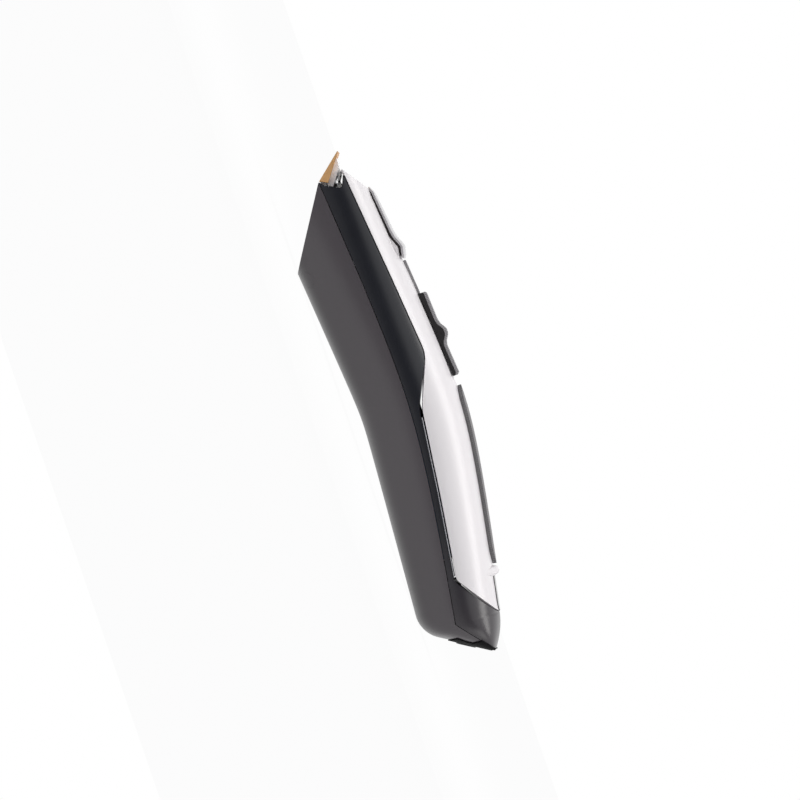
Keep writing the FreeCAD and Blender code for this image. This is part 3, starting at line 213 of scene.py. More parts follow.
def bent_line(x, bend_x, rise, head_slope, tail_slope, softness):
    """Height of a long line that is straight on both sides of a soft bend."""
    along = x - bend_x
    bend = math.hypot(along, softness) - softness
    return rise + (head_slope + tail_slope) / 2 * along - (head_slope - tail_slope) / 2 * bend


def top_height(x):
    """The front outline, with the crown that rounds it down over the tail block."""
    line = bent_line(x, *TOP_LINE)
    run = x - BLOCK_X
    return line - CROWN_RADIUS + math.sqrt(CROWN_RADIUS ** 2 - run ** 2) if run > 0 else line


def back_line(x):
    """The back's long line, without its heel."""
    return bent_line(x, *BACK_LINE)


TAIL_LEAN = math.radians(58)
HEEL_RADIUS = 11
HEEL_ARC = HEEL_RADIUS * math.sin(TAIL_LEAN)
HEEL_RISE = HEEL_RADIUS * (1 - math.cos(TAIL_LEAN))
TAIL_EDGE = 2
TAIL_STRAIGHT = (top_height(TAIL_X) - TAIL_EDGE - back_line(TAIL_X) - HEEL_RISE) / math.tan(TAIL_LEAN)
HEEL_X = TAIL_X - TAIL_STRAIGHT - HEEL_ARC


def back_height(x):
    """The back outline: the long line, the rounded heel and the leaning tail face."""
    run = x - HEEL_X
    if run <= 0:
        return back_line(x)
    if run <= HEEL_ARC:
        return back_line(HEEL_X) + HEEL_RADIUS - math.sqrt(HEEL_RADIUS ** 2 - run ** 2)
    return back_line(HEEL_X) + HEEL_RISE + (run - HEEL_ARC) * math.tan(TAIL_LEAN)


def half_width(x):
    """Half the width in plan: waisted in the middle, with round corners at the tail."""
    end = HEAD_WIDTH if x < WAIST_X else TAIL_WIDTH
    span = WAIST_X - NOSE_X if x < WAIST_X else TAIL_X - WAIST_X
    run = x - (TAIL_X - CORNER_SHARE * CORNER_RADIUS)
    corner = CORNER_RADIUS - math.sqrt(CORNER_RADIUS ** 2 - run ** 2) if run > 0 else 0
    return (WAIST_WIDTH + (end - WAIST_WIDTH) * ((x - WAIST_X) / span) ** 2) / 2 - corner


def squareness(x, upward):
    """How boxy a half of the section is: round in the handle, squarer towards the nose."""
    base = TOP_POWER if upward else BACK_POWER
    share = ((WAIST_X - x) / (WAIST_X - NOSE_X)) ** 2 if x < WAIST_X else 0
    return base + (HEAD_POWER - base) * share


def skin_point(x, turn, lift=0.0):
    """A point on the near side of the form: turn is -90 degrees at the back and 90 at the front."""
    low = back_height(x) - lift
    high = top_height(x) + lift
    power = squareness(x, turn > 0)
    across = math.cos(turn)
    upward = math.sin(turn)
    stretch = (abs(across) ** power + abs(upward) ** power) ** (-1 / power)
    y = -(half_width(x) + lift) * stretch * across
    return Vector((x, y, (low + high) / 2 + (high - low) / 2 * stretch * upward))


def turn_at(x, z):
    """The turn around the section at which the skin stands at height z."""
    low = back_height(x)
    high = top_height(x)
    rise = max(-1.0, min(1.0, (2 * z - low - high) / (high - low)))
    power = squareness(x, rise > 0)
    return math.atan2(rise, (1 - abs(rise) ** power) ** (1 / power))


def shell_seam(x):
    """The line where the rear shell ends: the long seam and its straight rise over the tail."""
    if x <= SEAM_CORNER_X:
        return bent_line(x, *SEAM_LINE)
    low = bent_line(SEAM_CORNER_X, *SEAM_LINE)
    high = top_height(TAIL_X) + SEAM_TAIL_RISE
    return low + (high - low) * (x - SEAM_CORNER_X) / (TAIL_X + 2 - SEAM_CORNER_X)


def half_skin(columns, rows, place):
    """A grid bent into the near half of a shell by place(along, around), mirrored to the far half."""
    bm = bmesh.new()
    bmesh.ops.create_grid(bm, x_segments=columns, y_segments=rows, size=0.5)
    for vert in bm.verts:
        vert.co = place(vert.co.x + 0.5, vert.co.y + 0.5) * MM
    bmesh.ops.mirror(bm, geom=bm.verts[:] + bm.edges[:] + bm.faces[:], axis="Y", merge_dist=1e-6)
    bmesh.ops.remove_doubles(bm, verts=bm.verts, dist=2e-6)
    face_outwards(bm)
    return bm


def face_outwards(bm):
    """Turns the faces of an open shell away from the middle of the handle."""
    bmesh.ops.recalc_face_normals(bm, faces=bm.faces)
    bm.normal_update()
    outward = 0
    for face in bm.faces:
        spot = face.calc_center_median()
        core = (back_height(spot.x / MM) + top_height(spot.x / MM)) / 2 * MM
        outward += face.normal.dot(Vector((0, spot.y, spot.z - core))) * face.calc_area()
    if outward < 0:
        bmesh.ops.reverse_faces(bm, faces=bm.faces)


def face_plane(bm, point, outward):
    """Planes the skin off along a flat facet and closes the facet."""
    cut = bmesh.ops.bisect_plane(bm, geom=bm.verts[:] + bm.edges[:] + bm.faces[:], dist=1e-7,
                                 plane_co=point * MM, plane_no=outward, clear_outer=True)
    edges = [item for item in cut["geom_cut"] if isinstance(item, bmesh.types.BMEdge)]
    ends = [vert for edge in edges for vert in edge.verts
            if sum(other in edges for other in vert.link_edges) == 1]
    if len(ends) == 2:
        edges.append(bm.edges.new(ends))
    bmesh.ops.contextual_create(bm, geom=edges)


def piece_from(bm, name, material, body="housing", stands_for=()):
    """Makes a bmesh into a named piece that rides on its body."""
    mesh = bpy.data.meshes.new(name)
    for face in bm.faces:
        face.smooth = True
    bm.to_mesh(mesh)
    bm.free()
    mesh.materials.append(material)
    piece = bpy.data.objects.new(name, mesh)
    bpy.context.scene.collection.objects.link(piece)
    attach(piece, body)
    if stands_for:
        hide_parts(*stands_for)
    return piece


THIN_END_X = 92.5
THIN_RUN = 6


def thicken(piece, thickness):
    """Gives a skin its wall, inwards, thinner where the tail runs out."""
    group = piece.vertex_groups.new(name="wall")
    for vert in piece.data.vertices:
        share = max(0.12, min(1.0, (THIN_END_X * MM - vert.co.x) / (THIN_RUN * MM)))
        group.add([vert.index], share, "REPLACE")
    wall = piece.modifiers.new("wall", "SOLIDIFY")
    wall.thickness = thickness * MM
    wall.offset = -1
    wall.vertex_group = "wall"


def soften(piece, radius, segments=2, angle=35):
    """Rounds a piece's sharp edges a little and keeps its flats flat."""
    bevel = piece.modifiers.new("edges", "BEVEL")
    bevel.width = radius * MM
    bevel.segments = segments
    bevel.limit_method = "ANGLE"
    bevel.angle_limit = math.radians(angle)
    bevel.harden_normals = True
    bevel.use_clamp_overlap = True


def bake(piece):
    """Settles a piece's modifiers into its mesh."""
    seen = piece.evaluated_get(bpy.context.evaluated_depsgraph_get())
    mesh = bpy.data.meshes.new_from_object(seen)
    piece.modifiers.clear()
    piece.data = mesh


def cut_by(piece, bm, name, operation):
    """Cuts a piece by the solids of a bmesh and settles the result into its mesh."""
    mesh = bpy.data.meshes.new(name)
    bm.to_mesh(mesh)
    bm.free()
    tool = bpy.data.objects.new(name, mesh)
    bpy.context.scene.collection.objects.link(tool)
    cut = piece.modifiers.new(name, "BOOLEAN")
    cut.object = tool
    cut.operation = operation
    cut.solver = "EXACT"
    bake(piece)
    bpy.data.objects.remove(tool)


def moulded(name, colour, shade, roughness, grain=4000, depth=0.00001, coat=0.0, coat_roughness=0.1,
            specular=0.5):
    """Moulded plastic: a faint drift of colour and gloss over the part, and a fine grain in the skin."""
    material = bpy.data.materials.new(name)
    nodes, links = clear_tree(material)
    where = nodes.new("ShaderNodeTexCoord").outputs["Object"]
    shader = nodes.new("ShaderNodeBsdfPrincipled")
    drift = nodes.new("ShaderNodeTexNoise")
    drift.inputs["Scale"].default_value = 55
    drift.inputs["Detail"].default_value = 3
    links.new(where, drift.inputs["Vector"])
    tone = nodes.new("ShaderNodeMix")
    tone.data_type = "RGBA"
    tone.inputs["A"].default_value = (*colour, 1)
    tone.inputs["B"].default_value = (*shade, 1)
    links.new(drift.outputs["Fac"], tone.inputs["Factor"])
    links.new(tone.outputs["Result"], shader.inputs["Base Color"])
    gloss = nodes.new("ShaderNodeMapRange")
    gloss.inputs["To Min"].default_value = roughness * 0.9
    gloss.inputs["To Max"].default_value = roughness * 1.1
    links.new(drift.outputs["Fac"], gloss.inputs["Value"])
    links.new(gloss.outputs["Result"], shader.inputs["Roughness"])
    fine = nodes.new("ShaderNodeTexNoise")
    fine.inputs["Scale"].default_value = grain
    fine.inputs["Detail"].default_value = 2
    links.new(where, fine.inputs["Vector"])
    bump = nodes.new("ShaderNodeBump")
    bump.inputs["Strength"].default_value = 0.6
    bump.inputs["Distance"].default_value = depth
    links.new(fine.outputs["Fac"], bump.inputs["Height"])
    links.new(bump.outputs["Normal"], shader.inputs["Normal"])
    shader.inputs["Specular IOR Level"].default_value = specular
    shader.inputs["Coat Weight"].default_value = coat
    shader.inputs["Coat Roughness"].default_value = coat_roughness
    links.new(shader.outputs[0], nodes.new("ShaderNodeOutputMaterial").inputs["Surface"])
    return material


PAST_NOSE = 0.8


def rear_place(along, around):
    """The rear shell's skin from the middle of the back up to its seam."""
    x = NOSE_X - PAST_NOSE + along * (TAIL_X - NOSE_X + PAST_NOSE)
    top = turn_at(x, shell_seam(x) - SEAM_GAP / 2)
    return skin_point(x, -math.pi / 2 + around * (top + math.pi / 2))


dark_shell = moulded("dark_shell", (0.040, 0.032, 0.039), (0.046, 0.037, 0.045), 0.3, 5000, 0.000006,
                     specular=0.85)
bm = half_skin(240, 30, rear_place)
chin_low = Vector((CHIN_X, 0, back_height(CHIN_X)))
chin_high = Vector((NOSE_X + 0.6, 0, LIP_Z))
chin_along = (chin_high - chin_low).normalized()
chin_outward = Vector((-chin_along.z, 0, chin_along.x))
face_plane(bm, chin_low, chin_outward)
rim_x = (TAIL_X - 0.02) * MM
tail_rim = [edge for edge in bm.edges if edge.is_boundary and min(v.co.x for v in edge.verts) > rim_x]
bmesh.ops.contextual_create(bm, geom=tail_rim)
face_outwards(bm)
rear = piece_from(bm, "rear_shell_skin", dark_shell, stands_for=("rear_shell",))
thicken(rear, WALL)
soften(rear, 0.18)

# The four wells and the charging bore are drilled after the edges are rounded.
SCREW_SPOTS = [(-53.9, -15), (-53.9, 15), (66.1, -11), (66.1, 11)]
WELL_RADIUS = 3.1
WELL_REACH = 10
SCREW_SEAT = 8.5
INLET_OUT = Vector((math.sin(TAIL_LEAN), 0, -math.cos(TAIL_LEAN)))
INLET_X = (HEEL_X + HEEL_ARC + TAIL_X) / 2
INLET_PLACE = Vector((INLET_X, 0, back_height(INLET_X)))
INLET_RADIUS = 3.6
INLET_GAP = 0.08
INLET_DEPTH = 16


def bar(bm, radius, depth, matrix):
    """Adds a round bar about the matrix's own Z axis."""
    bmesh.ops.create_cone(bm, cap_ends=True, segments=48, radius1=radius * MM, radius2=radius * MM,
                          depth=depth * MM, matrix=matrix)


def screw_bars(radius, depth):
    """A bmesh of four upright bars at the screws."""
    bm = bmesh.new()
    for x, y in SCREW_SPOTS:
        bar(bm, radius, depth, Matrix.Translation(Vector((x, y, 0)) * MM))
    return bm


whole_skin = bpy.data.meshes.new_from_object(rear.evaluated_get(bpy.context.evaluated_depsgraph_get()))
bm = screw_bars(WELL_RADIUS, 2 * WELL_REACH)
inlet_turn = INLET_OUT.to_track_quat("Z", "Y").to_matrix().to_4x4()
bar(bm, INLET_RADIUS + INLET_GAP, INLET_DEPTH, Matrix.Translation(INLET_PLACE * MM) @ inlet_turn)
cut_by(rear, bm, "drill", "DIFFERENCE")

# ---- screw plugs ------------------------------------------------------------------------------
# Four thin plugs in the rear shell's plastic that close the screw wells. They are pressed in until
# they stand flush with the back, so that only a hairline ring shows.
bm = bmesh.new()
bm.from_mesh(whole_skin)
plugs = piece_from(bm, "well_plugs", dark_shell, stands_for=("screw_plugs",))
PLUG_GAP = 0.05
PLUG_REACH = 6.4
cut_by(plugs, screw_bars(WELL_RADIUS - PLUG_GAP, 2 * PLUG_REACH), "punch", "INTERSECT")

# ---- screw wells ------------------------------------------------------------------------------
# Four sleeves moulded with the rear shell, each with a floor that the screw head pulls against.
# They share the shell's plastic, and the screws stand well below the surface.


def skin_at(x, y):
    """Height of the back of the form at x and y."""
    low = back_height(x)
    half = (top_height(x) - low) / 2
    power = squareness(x, False)
    return low + half - half * (1 - min(1.0, y / half_width(x)) ** power) ** (1 / power)


def verts_of(geom):
    """The vertices among the things that a bmesh operator returns."""
    return [item for item in geom if isinstance(item, bmesh.types.BMVert)]


SLEEVE_GAP = 0.02
SLEEVE_DROP = 1.6
SLEEVE_WALL = 0.9
FLOOR_SHARE = 0.5
bm = bmesh.new()
for x, y in SCREW_SPOTS:
    tube = bmesh.ops.create_circle(bm, cap_ends=False, segments=48, radius=(WELL_RADIUS + SLEEVE_GAP) * MM)
    rim = list({edge for vert in tube["verts"] for edge in vert.link_edges})
    mouth = (skin_at(x, abs(y) + WELL_RADIUS) + SLEEVE_DROP) * MM
    bmesh.ops.translate(bm, vec=(x * MM, y * MM, mouth), verts=tube["verts"])
    wall = bmesh.ops.extrude_edge_only(bm, edges=rim)["geom"]
    moved = verts_of(wall)
    bmesh.ops.translate(bm, vec=(0, 0, SCREW_SEAT * MM - mouth), verts=moved)
    inner = [item for item in wall if isinstance(item, bmesh.types.BMEdge)
             and all(vert in moved for vert in item.verts)]
    floor_wall = bmesh.ops.extrude_edge_only(bm, edges=inner)["geom"]
    centre = Vector((x * MM, y * MM, SCREW_SEAT * MM))
    for vert in verts_of(floor_wall):
        vert.co = centre + (vert.co - centre) * FLOOR_SHARE
wells = piece_from(bm, "screw_wells", dark_shell)
sleeve = wells.modifiers.new("sleeve", "SOLIDIFY")
sleeve.thickness = SLEEVE_WALL * MM
sleeve.offset = 1

# ---- side band --------------------------------------------------------------------------------
# The blue-black middle moulding between the two seams: its two sides join in the block that
# makes the tail, and its front is notched for the blade unit. Towards the tail its colour is
# painted paler: painted light for the light that falls on the block from the tail side.
# x, z and rounding radius of each corner of the cover's lower edge, from the nose to the tail.
COVER_CORNERS = [(NOSE_X - 6, NOSE_Z - 1.3, 0), (-45, 31.55, 200), (-15, 34.29, 14), (3, 26.69, 22),
                 (34.25, 22.79, 150), (65.5, 18.31, 2.5), (81.3, 29.14, 0)]
EDGE_RISE_AT_TAIL = 40
LOBE_GAP = 0.95
LOBE_START = -14
LOBE_OPENING = 15
LOBE_END = 83
LOBE_CLOSING = 8


def filleted_height(x, corners):
    """Height of a chain of straight lines with rounded corners."""
    for index in range(1, len(corners) - 1):
        here = Vector(corners[index][:2])
        back = (Vector(corners[index - 1][:2]) - here).normalized()
        ahead = (Vector(corners[index + 1][:2]) - here).normalized()
        half = back.angle(ahead) / 2
        radius = corners[index][2]
        trim = radius / math.tan(half)
        start = here + back * trim
        end = here + ahead * trim
        if start.x < x < end.x:
            centre = here + (back + ahead).normalized() * (radius / math.sin(half))
            side = -1 if centre.y > here.y else 1
            return centre.y + side * math.sqrt(radius ** 2 - (x - centre.x) ** 2)
    for first, second in zip(corners, corners[1:]):
        if x <= second[0]:
            return first[1] + (second[1] - first[1]) * (x - first[0]) / (second[0] - first[0])
    return corners[-1][1] + (x - corners[-1][0]) * EDGE_RISE_AT_TAIL


def cover_seam(x):
    """The line where the front cover ends and the side band begins."""
    return filleted_height(x, COVER_CORNERS)


def lobe_share(x):
    """How much of the lobe's shadow gap is open: none ahead of the lobe, all of it along the lobe."""
    opened = max(0.0, min(1.0, (x - LOBE_START) / LOBE_OPENING))
    return opened * max(0.0, min(1.0, (LOBE_END - x) / LOBE_CLOSING))


def mouth_line(z):
    """How far back the notch in the nose reaches at height z."""
    chain = [(LIP_Z, 0.7), (LIP_Z + 1.7, 2.8), (NOSE_Z - 3.1, 5.4), (NOSE_Z - 1.9, 3.6), (NOSE_Z, 0)]
    if z <= chain[0][0]:
        return NOSE_X + 0.7
    for first, second in zip(chain, chain[1:]):
        if z <= second[0]:
            return NOSE_X + first[1] + (second[1] - first[1]) * (z - first[0]) / (second[0] - first[0])
    return NOSE_X


BAND_END = 93.55
MOUTH_LOW = 18.2
MOUTH_HEIGHT = 9.3
MOUTH_BLEND = 14


def band_place(along, around):
    """The band's skin from the notch in the nose to the tail, between its two seams."""
    near = (1 - along) ** MOUTH_BLEND
    start = mouth_line(MOUTH_LOW + around * MOUTH_HEIGHT)
    x = start + (BAND_END - start) * along
    x = x * (1 - near) + start * near
    low = turn_at(x, shell_seam(x) + SEAM_GAP / 2)
    high = turn_at(x, cover_seam(x) - SEAM_GAP / 2 - LOBE_GAP * lobe_share(x))
    return skin_point(x, low + around * max(0.0, high - low))


def painted_light_between(material, start, end, colour):
    """Paints a moulded plastic paler from one station along the clipper to another, as painted light."""
    nodes, links = material.node_tree.nodes, material.node_tree.links
    shader = next(node for node in nodes if node.type == "BSDF_PRINCIPLED")
    apart = nodes.new("ShaderNodeSeparateXYZ")
    links.new(nodes.new("ShaderNodeTexCoord").outputs["Object"], apart.inputs["Vector"])
    share = nodes.new("ShaderNodeMapRange")
    share.inputs["From Min"].default_value = start * MM
    share.inputs["From Max"].default_value = end * MM
    links.new(apart.outputs["X"], share.inputs["Value"])
    painted_light_tone = nodes.new("ShaderNodeMix")
    painted_light_tone.data_type = "RGBA"
    painted_light_tone.inputs["B"].default_value = (*colour, 1)
    links.new(share.outputs["Result"], painted_light_tone.inputs["Factor"])
    links.new(shader.inputs["Base Color"].links[0].from_socket, painted_light_tone.inputs["A"])
    links.new(painted_light_tone.outputs["Result"], shader.inputs["Base Color"])


band_plastic = moulded("band_plastic", (0.009, 0.010, 0.014), (0.011, 0.012, 0.017), 0.30, 5000, 0.000004)
# Painted light: the band turns paler towards the tail, standing in for the light from the tail side.
painted_light_between(band_plastic, start=45, end=88, colour=(0.048, 0.043, 0.048))
band = piece_from(half_skin(250, 22, band_place), "side_band", band_plastic,
                  stands_for=("mid_frame",))
thicken(band, WALL)
soften(band, 0.18)

# ---- nose bulkhead ----------------------------------------------------------------------------
# The cross wall of the middle moulding behind the blades. It carries the latch and has an upright
# slot that the drive pin works in.
BULKHEAD_X = -79.5
BULKHEAD_LOW = 16.6
BULKHEAD_HEIGHT = 12.2
BULKHEAD_INSET = 3.2
SLOT_HALF_SHARE = 0.09
SLOT_TOP_SHARE = 0.2
bm = bmesh.new()
bmesh.ops.create_grid(bm, x_segments=20, y_segments=12, size=0.5)
bmesh.ops.delete(bm, geom=[face for face in bm.faces if abs(face.calc_center_median().x) < SLOT_HALF_SHARE
                           and face.calc_center_median().y < SLOT_TOP_SHARE], context="FACES")
for vert in bm.verts:
    z = BULKHEAD_LOW + (vert.co.y + 0.5) * BULKHEAD_HEIGHT
    y = 2 * vert.co.x * (half_width(BULKHEAD_X) - BULKHEAD_INSET)
    vert.co = Vector((BULKHEAD_X, y, z)) * MM
bulkhead = piece_from(bm, "nose_bulkhead", band_plastic)
plate = bulkhead.modifiers.new("plate", "SOLIDIFY")
plate.thickness = 2 * MM
plate.offset = 1
soften(bulkhead, 0.1)

# ---- front cover ------------------------------------------------------------------------------
# The pale cover on the front of the clipper, moulded in white ABS and polished. Its lobe hangs
# down over each side of the handle, and its flat brow stands over the blades.
COVER_END = 81.26


def cover_place(along, around):
    """The cover's skin from its lower edge up to the middle of the front."""
    x = NOSE_X - 1 + along * (COVER_END - NOSE_X + 1)
    low = turn_at(x, cover_seam(x) + SEAM_GAP / 2)
    return skin_point(x, low + around * (math.pi / 2 - low))


white_cover = moulded("white_cover", (0.79, 0.77, 0.775), (0.82, 0.80, 0.805), 0.34, 2500, 0.000002,
                      coat=0.08, coat_roughness=0.12)
bm = half_skin(240, 30, cover_place)
BROW_LENGTH = 9.2
BROW_DROP = 6.4
brow_along = Vector((BROW_LENGTH, 0, BROW_DROP)).normalized()
face_plane(bm, Vector((NOSE_X, 0, NOSE_Z)), Vector((-brow_along.z, 0, brow_along.x)))
face_outwards(bm)
cover = piece_from(bm, "cover_shell", white_cover, stands_for=("front_cover",))
thicken(cover, WALL)
soften(cover, 0.2)

# ---- bright trim ------------------------------------------------------------------------------
# A thin polished strip let into the shadow gap under the cover's lobe on each side. It is a
# plated plastic moulding, pressed in along the top edge of the band.
TRIM_START = 6.2
TRIM_END = 64.4
TRIM_TOP = 0.5
TRIM_HEIGHT = 0.34
TRIM_SINK = 0.05


def trim_place(along, around):
    """The trim's outer face, a little way into the shadow gap under the lobe."""
    x = TRIM_START + along * (TRIM_END - TRIM_START)
    z = cover_seam(x) - TRIM_TOP - (1 - around) * TRIM_HEIGHT
    return skin_point(x, turn_at(x, z), -TRIM_SINK)


def polished(name, colour, roughness, brushed=0.0, streak=(1, 1, 1)):
    """Metal with faint drawn lines along one direction and a slightly uneven polish."""
    material = bpy.data.materials.new(name)
    nodes, links = clear_tree(material)
    where = nodes.new("ShaderNodeTexCoord").outputs["Object"]
    shader = nodes.new("ShaderNodeBsdfPrincipled")
    shader.inputs["Metallic"].default_value = 1
    stretch = nodes.new("ShaderNodeMapping")
    stretch.inputs["Scale"].default_value = streak
    links.new(where, stretch.inputs["Vector"])
    lines = nodes.new("ShaderNodeTexNoise")
    lines.inputs["Scale"].default_value = 2500
    lines.inputs["Detail"].default_value = 3
    links.new(stretch.outputs["Vector"], lines.inputs["Vector"])
    tone = nodes.new("ShaderNodeMix")
    tone.data_type = "RGBA"
    tone.inputs["A"].default_value = (*[0.92 * part for part in colour], 1)
    tone.inputs["B"].default_value = (*colour, 1)
    links.new(lines.outputs["Fac"], tone.inputs["Factor"])
    links.new(tone.outputs["Result"], shader.inputs["Base Color"])
    gloss = nodes.new("ShaderNodeMapRange")
    gloss.inputs["To Min"].default_value = roughness * 0.8
    gloss.inputs["To Max"].default_value = roughness * 1.25
    links.new(lines.outputs["Fac"], gloss.inputs["Value"])
    links.new(gloss.outputs["Result"], shader.inputs["Roughness"])
    bump = nodes.new("ShaderNodeBump")
    bump.inputs["Strength"].default_value = 0.5
    bump.inputs["Distance"].default_value = 0.00001 * brushed
    links.new(lines.outputs["Fac"], bump.inputs["Height"])
    links.new(bump.outputs["Normal"], shader.inputs["Normal"])
    links.new(shader.outputs[0], nodes.new("ShaderNodeOutputMaterial").inputs["Surface"])
    return material


bright = polished("bright_trim", (0.26, 0.26, 0.28), 0.2)
trim = piece_from(half_skin(120, 2, trim_place), "lobe_trim", bright,
                  stands_for=("chrome_trim",))
thicken(trim, 1.2)

# ---- seam shadow strip ------------------------------------------------------------------------
# A thin black strip in the seam between the front cover and the side band, from the nose to
# the start of the lobe. It is painted shade: it stands for the shadow in the seam's gap and shows
# as a fine dark line.
SEAM_SHADOW_START = -84.6
SEAM_SHADOW_END = -13
SEAM_SHADOW_HEIGHT = 0.3
SEAM_SHADOW_RISE = 0.015


def seam_shadow_place(along, around):
    """The painted shade strip's outer face, along the cover's lower edge."""
    x = SEAM_SHADOW_START + along * (SEAM_SHADOW_END - SEAM_SHADOW_START)
    z = cover_seam(x) - SEAM_SHADOW_HEIGHT + around * SEAM_SHADOW_HEIGHT
    return skin_point(x, turn_at(x, z), SEAM_SHADOW_RISE)


# Near-black paint for the seam strip: painted shade for the shadow in the gap.
seam_shadow_paint = moulded("seam_shadow_strip", (0.006, 0.006, 0.007), (0.009, 0.009, 0.010), 0.7, 3500, 0.00001,
                     specular=0.1)
seam_shadow = piece_from(half_skin(120, 2, seam_shadow_place), "seam_shadow_strip", seam_shadow_paint)
thicken(seam_shadow, 0.5)

# ---- front plate ------------------------------------------------------------------------------
# The silver-grey plate let into the front over the drive, with a thumb ridge at its tail end. It
# is a painted moulding that snaps into a recess in the cover.


def crest_height(x, y, lift):
    """Height of the front of the form at x, y, with a lift along the section."""
    low = back_height(x) - lift
    high = top_height(x) + lift
    power = squareness(x, True)
    share = min(1.0, abs(y) / (half_width(x) + lift))
    return (low + high) / 2 + (high - low) / 2 * (1 - share ** power) ** (1 / power)


def crest_pad(columns, rows, start, end, half_across, lift):
    """A grid laid on the front between two stations, in a plan outline, raised by lift(x)."""
    bm = bmesh.new()
    bmesh.ops.create_grid(bm, x_segments=columns, y_segments=rows, size=0.5)
    for vert in bm.verts:
        along = (1 - math.cos((vert.co.x + 0.5) * math.pi)) / 2
        x = start + (end - start) * along
        y = 2 * vert.co.y * half_across(x)
        vert.co = Vector((x, y, crest_height(x, y, lift(x)))) * MM
    bmesh.ops.remove_doubles(bm, verts=bm.verts, dist=2e-6)
    face_outwards(bm)
    return bm


def rounded_plan(start, end, width, radius):
    """The half width in plan of a plate with round corners."""
    def half_across(x):
        run = max(0.0, start + radius - x, x - (end - radius))
        return width / 2 - radius + math.sqrt(max(0.0, radius ** 2 - run ** 2))
    return half_across


PLATE_START = -78.4
PLATE_END = -49.9
PLATE_WIDTH = 24
PLATE_CORNER = 4


def eased(x, chain, soft=True):
    """A value that eases, or runs straight, from one x, value pair of the chain to the next."""
    if x <= chain[0][0]:
        return chain[0][1]
    for first, second in zip(chain, chain[1:]):
        if x <= second[0]:
            share = (x - first[0]) / (second[0] - first[0])
            if soft:
                share = share * share * (3 - 2 * share)
            return first[1] + (second[1] - first[1]) * share
    return chain[-1][1]


def plate_lift(x):
    """How far the plate's top stands over the cover: a long flat, then the thumb ridge."""
    return eased(x, [(PLATE_START, 0.3), (PLATE_START + 2.4, 1.3), (PLATE_END - 10.5, 1.6),
                     (PLATE_END - 8.6, 1.8), (PLATE_END - 5.0, 2.9), (PLATE_END - 4.0, 2.95),
                     (PLATE_END - 1, 1.9), (PLATE_END, 1.2)], soft=False)


silver = moulded("silver_plate", (0.40, 0.39, 0.40), (0.45, 0.44, 0.45), 0.28, 6000, 0.000006, coat=0.5)
plate_plan = rounded_plan(PLATE_START, PLATE_END, PLATE_WIDTH, PLATE_CORNER)
bm = crest_pad(110, 40, PLATE_START, PLATE_END, plate_plan, plate_lift)
face_plate = piece_from(bm, "face_plate", silver, stands_for=("front_plate",))
thicken(face_plate, 0.75)
soften(face_plate, 0.25, 3)

# ---- plate shadow strip and its seat ----------------------------------------------------------
# A thin dark strip is painted shade: it shows the shadow gap all round under the plate as a
# line. Under the thumb ridge the cover swells up into a pale seat, so that the dark strip follows
# the plate over the ridge.
PLATE_SHADOW_START = PLATE_START + 0.7
PLATE_SHADOW_END = PLATE_END - 1.2
PLATE_SHADOW_DROP = 0.7
INNER_CORNER = 3.6
# Dark brown paint for the strip under the plate: painted shade for the shadow gap there.
plate_shadow_paint = moulded("plate_shadow", (0.030, 0.027, 0.027), (0.04, 0.036, 0.036), 0.6, 3000, 0.00001,
                       specular=0.2)
plate_shadow_plan = rounded_plan(PLATE_SHADOW_START, PLATE_SHADOW_END, 23, INNER_CORNER)
bm = crest_pad(110, 30, PLATE_SHADOW_START, PLATE_SHADOW_END, plate_shadow_plan, lambda x: plate_lift(x) - PLATE_SHADOW_DROP)
plate_shadow = piece_from(bm, "plate_shadow_strip", plate_shadow_paint)
thicken(plate_shadow, 1.1)
SEAT_START = PLATE_END - 12
SEAT_END = PLATE_END - 0.4
SEAT_DROP = 1.7
seat_plan = rounded_plan(SEAT_START, SEAT_END, 23.8, INNER_CORNER)
bm = crest_pad(60, 30, SEAT_START, SEAT_END, seat_plan, lambda x: plate_lift(x) - SEAT_DROP)
seat = piece_from(bm, "plate_seat", white_cover)
thicken(seat, 2.2)
soften(seat, 0.2)

# ---- switch track and slider ------------------------------------------------------------------
# A dark strip let into the crest, and the on-off slider that runs on it towards the head. The
# slider is moulded in grained grey plastic, with a thumb hump and fine cross ribs on its top. Its
# base and side skirts are near-black, painted shade for the slider's side walls, which lie in shadow.
TRACK_START = -49.3
SLIDER_START = -36.3
SLIDER_END = -4.1


def profile_bar(corners, width):
    """A bar across the clipper with an outline of x, z corners."""
    bm = bmesh.new()
    face = bm.faces.new([bm.verts.new(Vector((x, -width / 2, z)) * MM) for x, z in corners])
    grown = bmesh.ops.extrude_face_region(bm, geom=[face])["geom"]
    bmesh.ops.translate(bm, vec=(0, width * MM, 0), verts=verts_of(grown))
    bmesh.ops.recalc_face_normals(bm, faces=bm.faces)
    return bm


def slide_line(x, rise):
    """Height of the straight line that the slider runs along, with a rise over it."""
    slope = (top_height(SLIDER_END) - top_height(TRACK_START)) / (SLIDER_END - TRACK_START)
    centre = (TRACK_START + SLIDER_END) / 2
    return top_height(centre) + slope * (x - centre) + rise


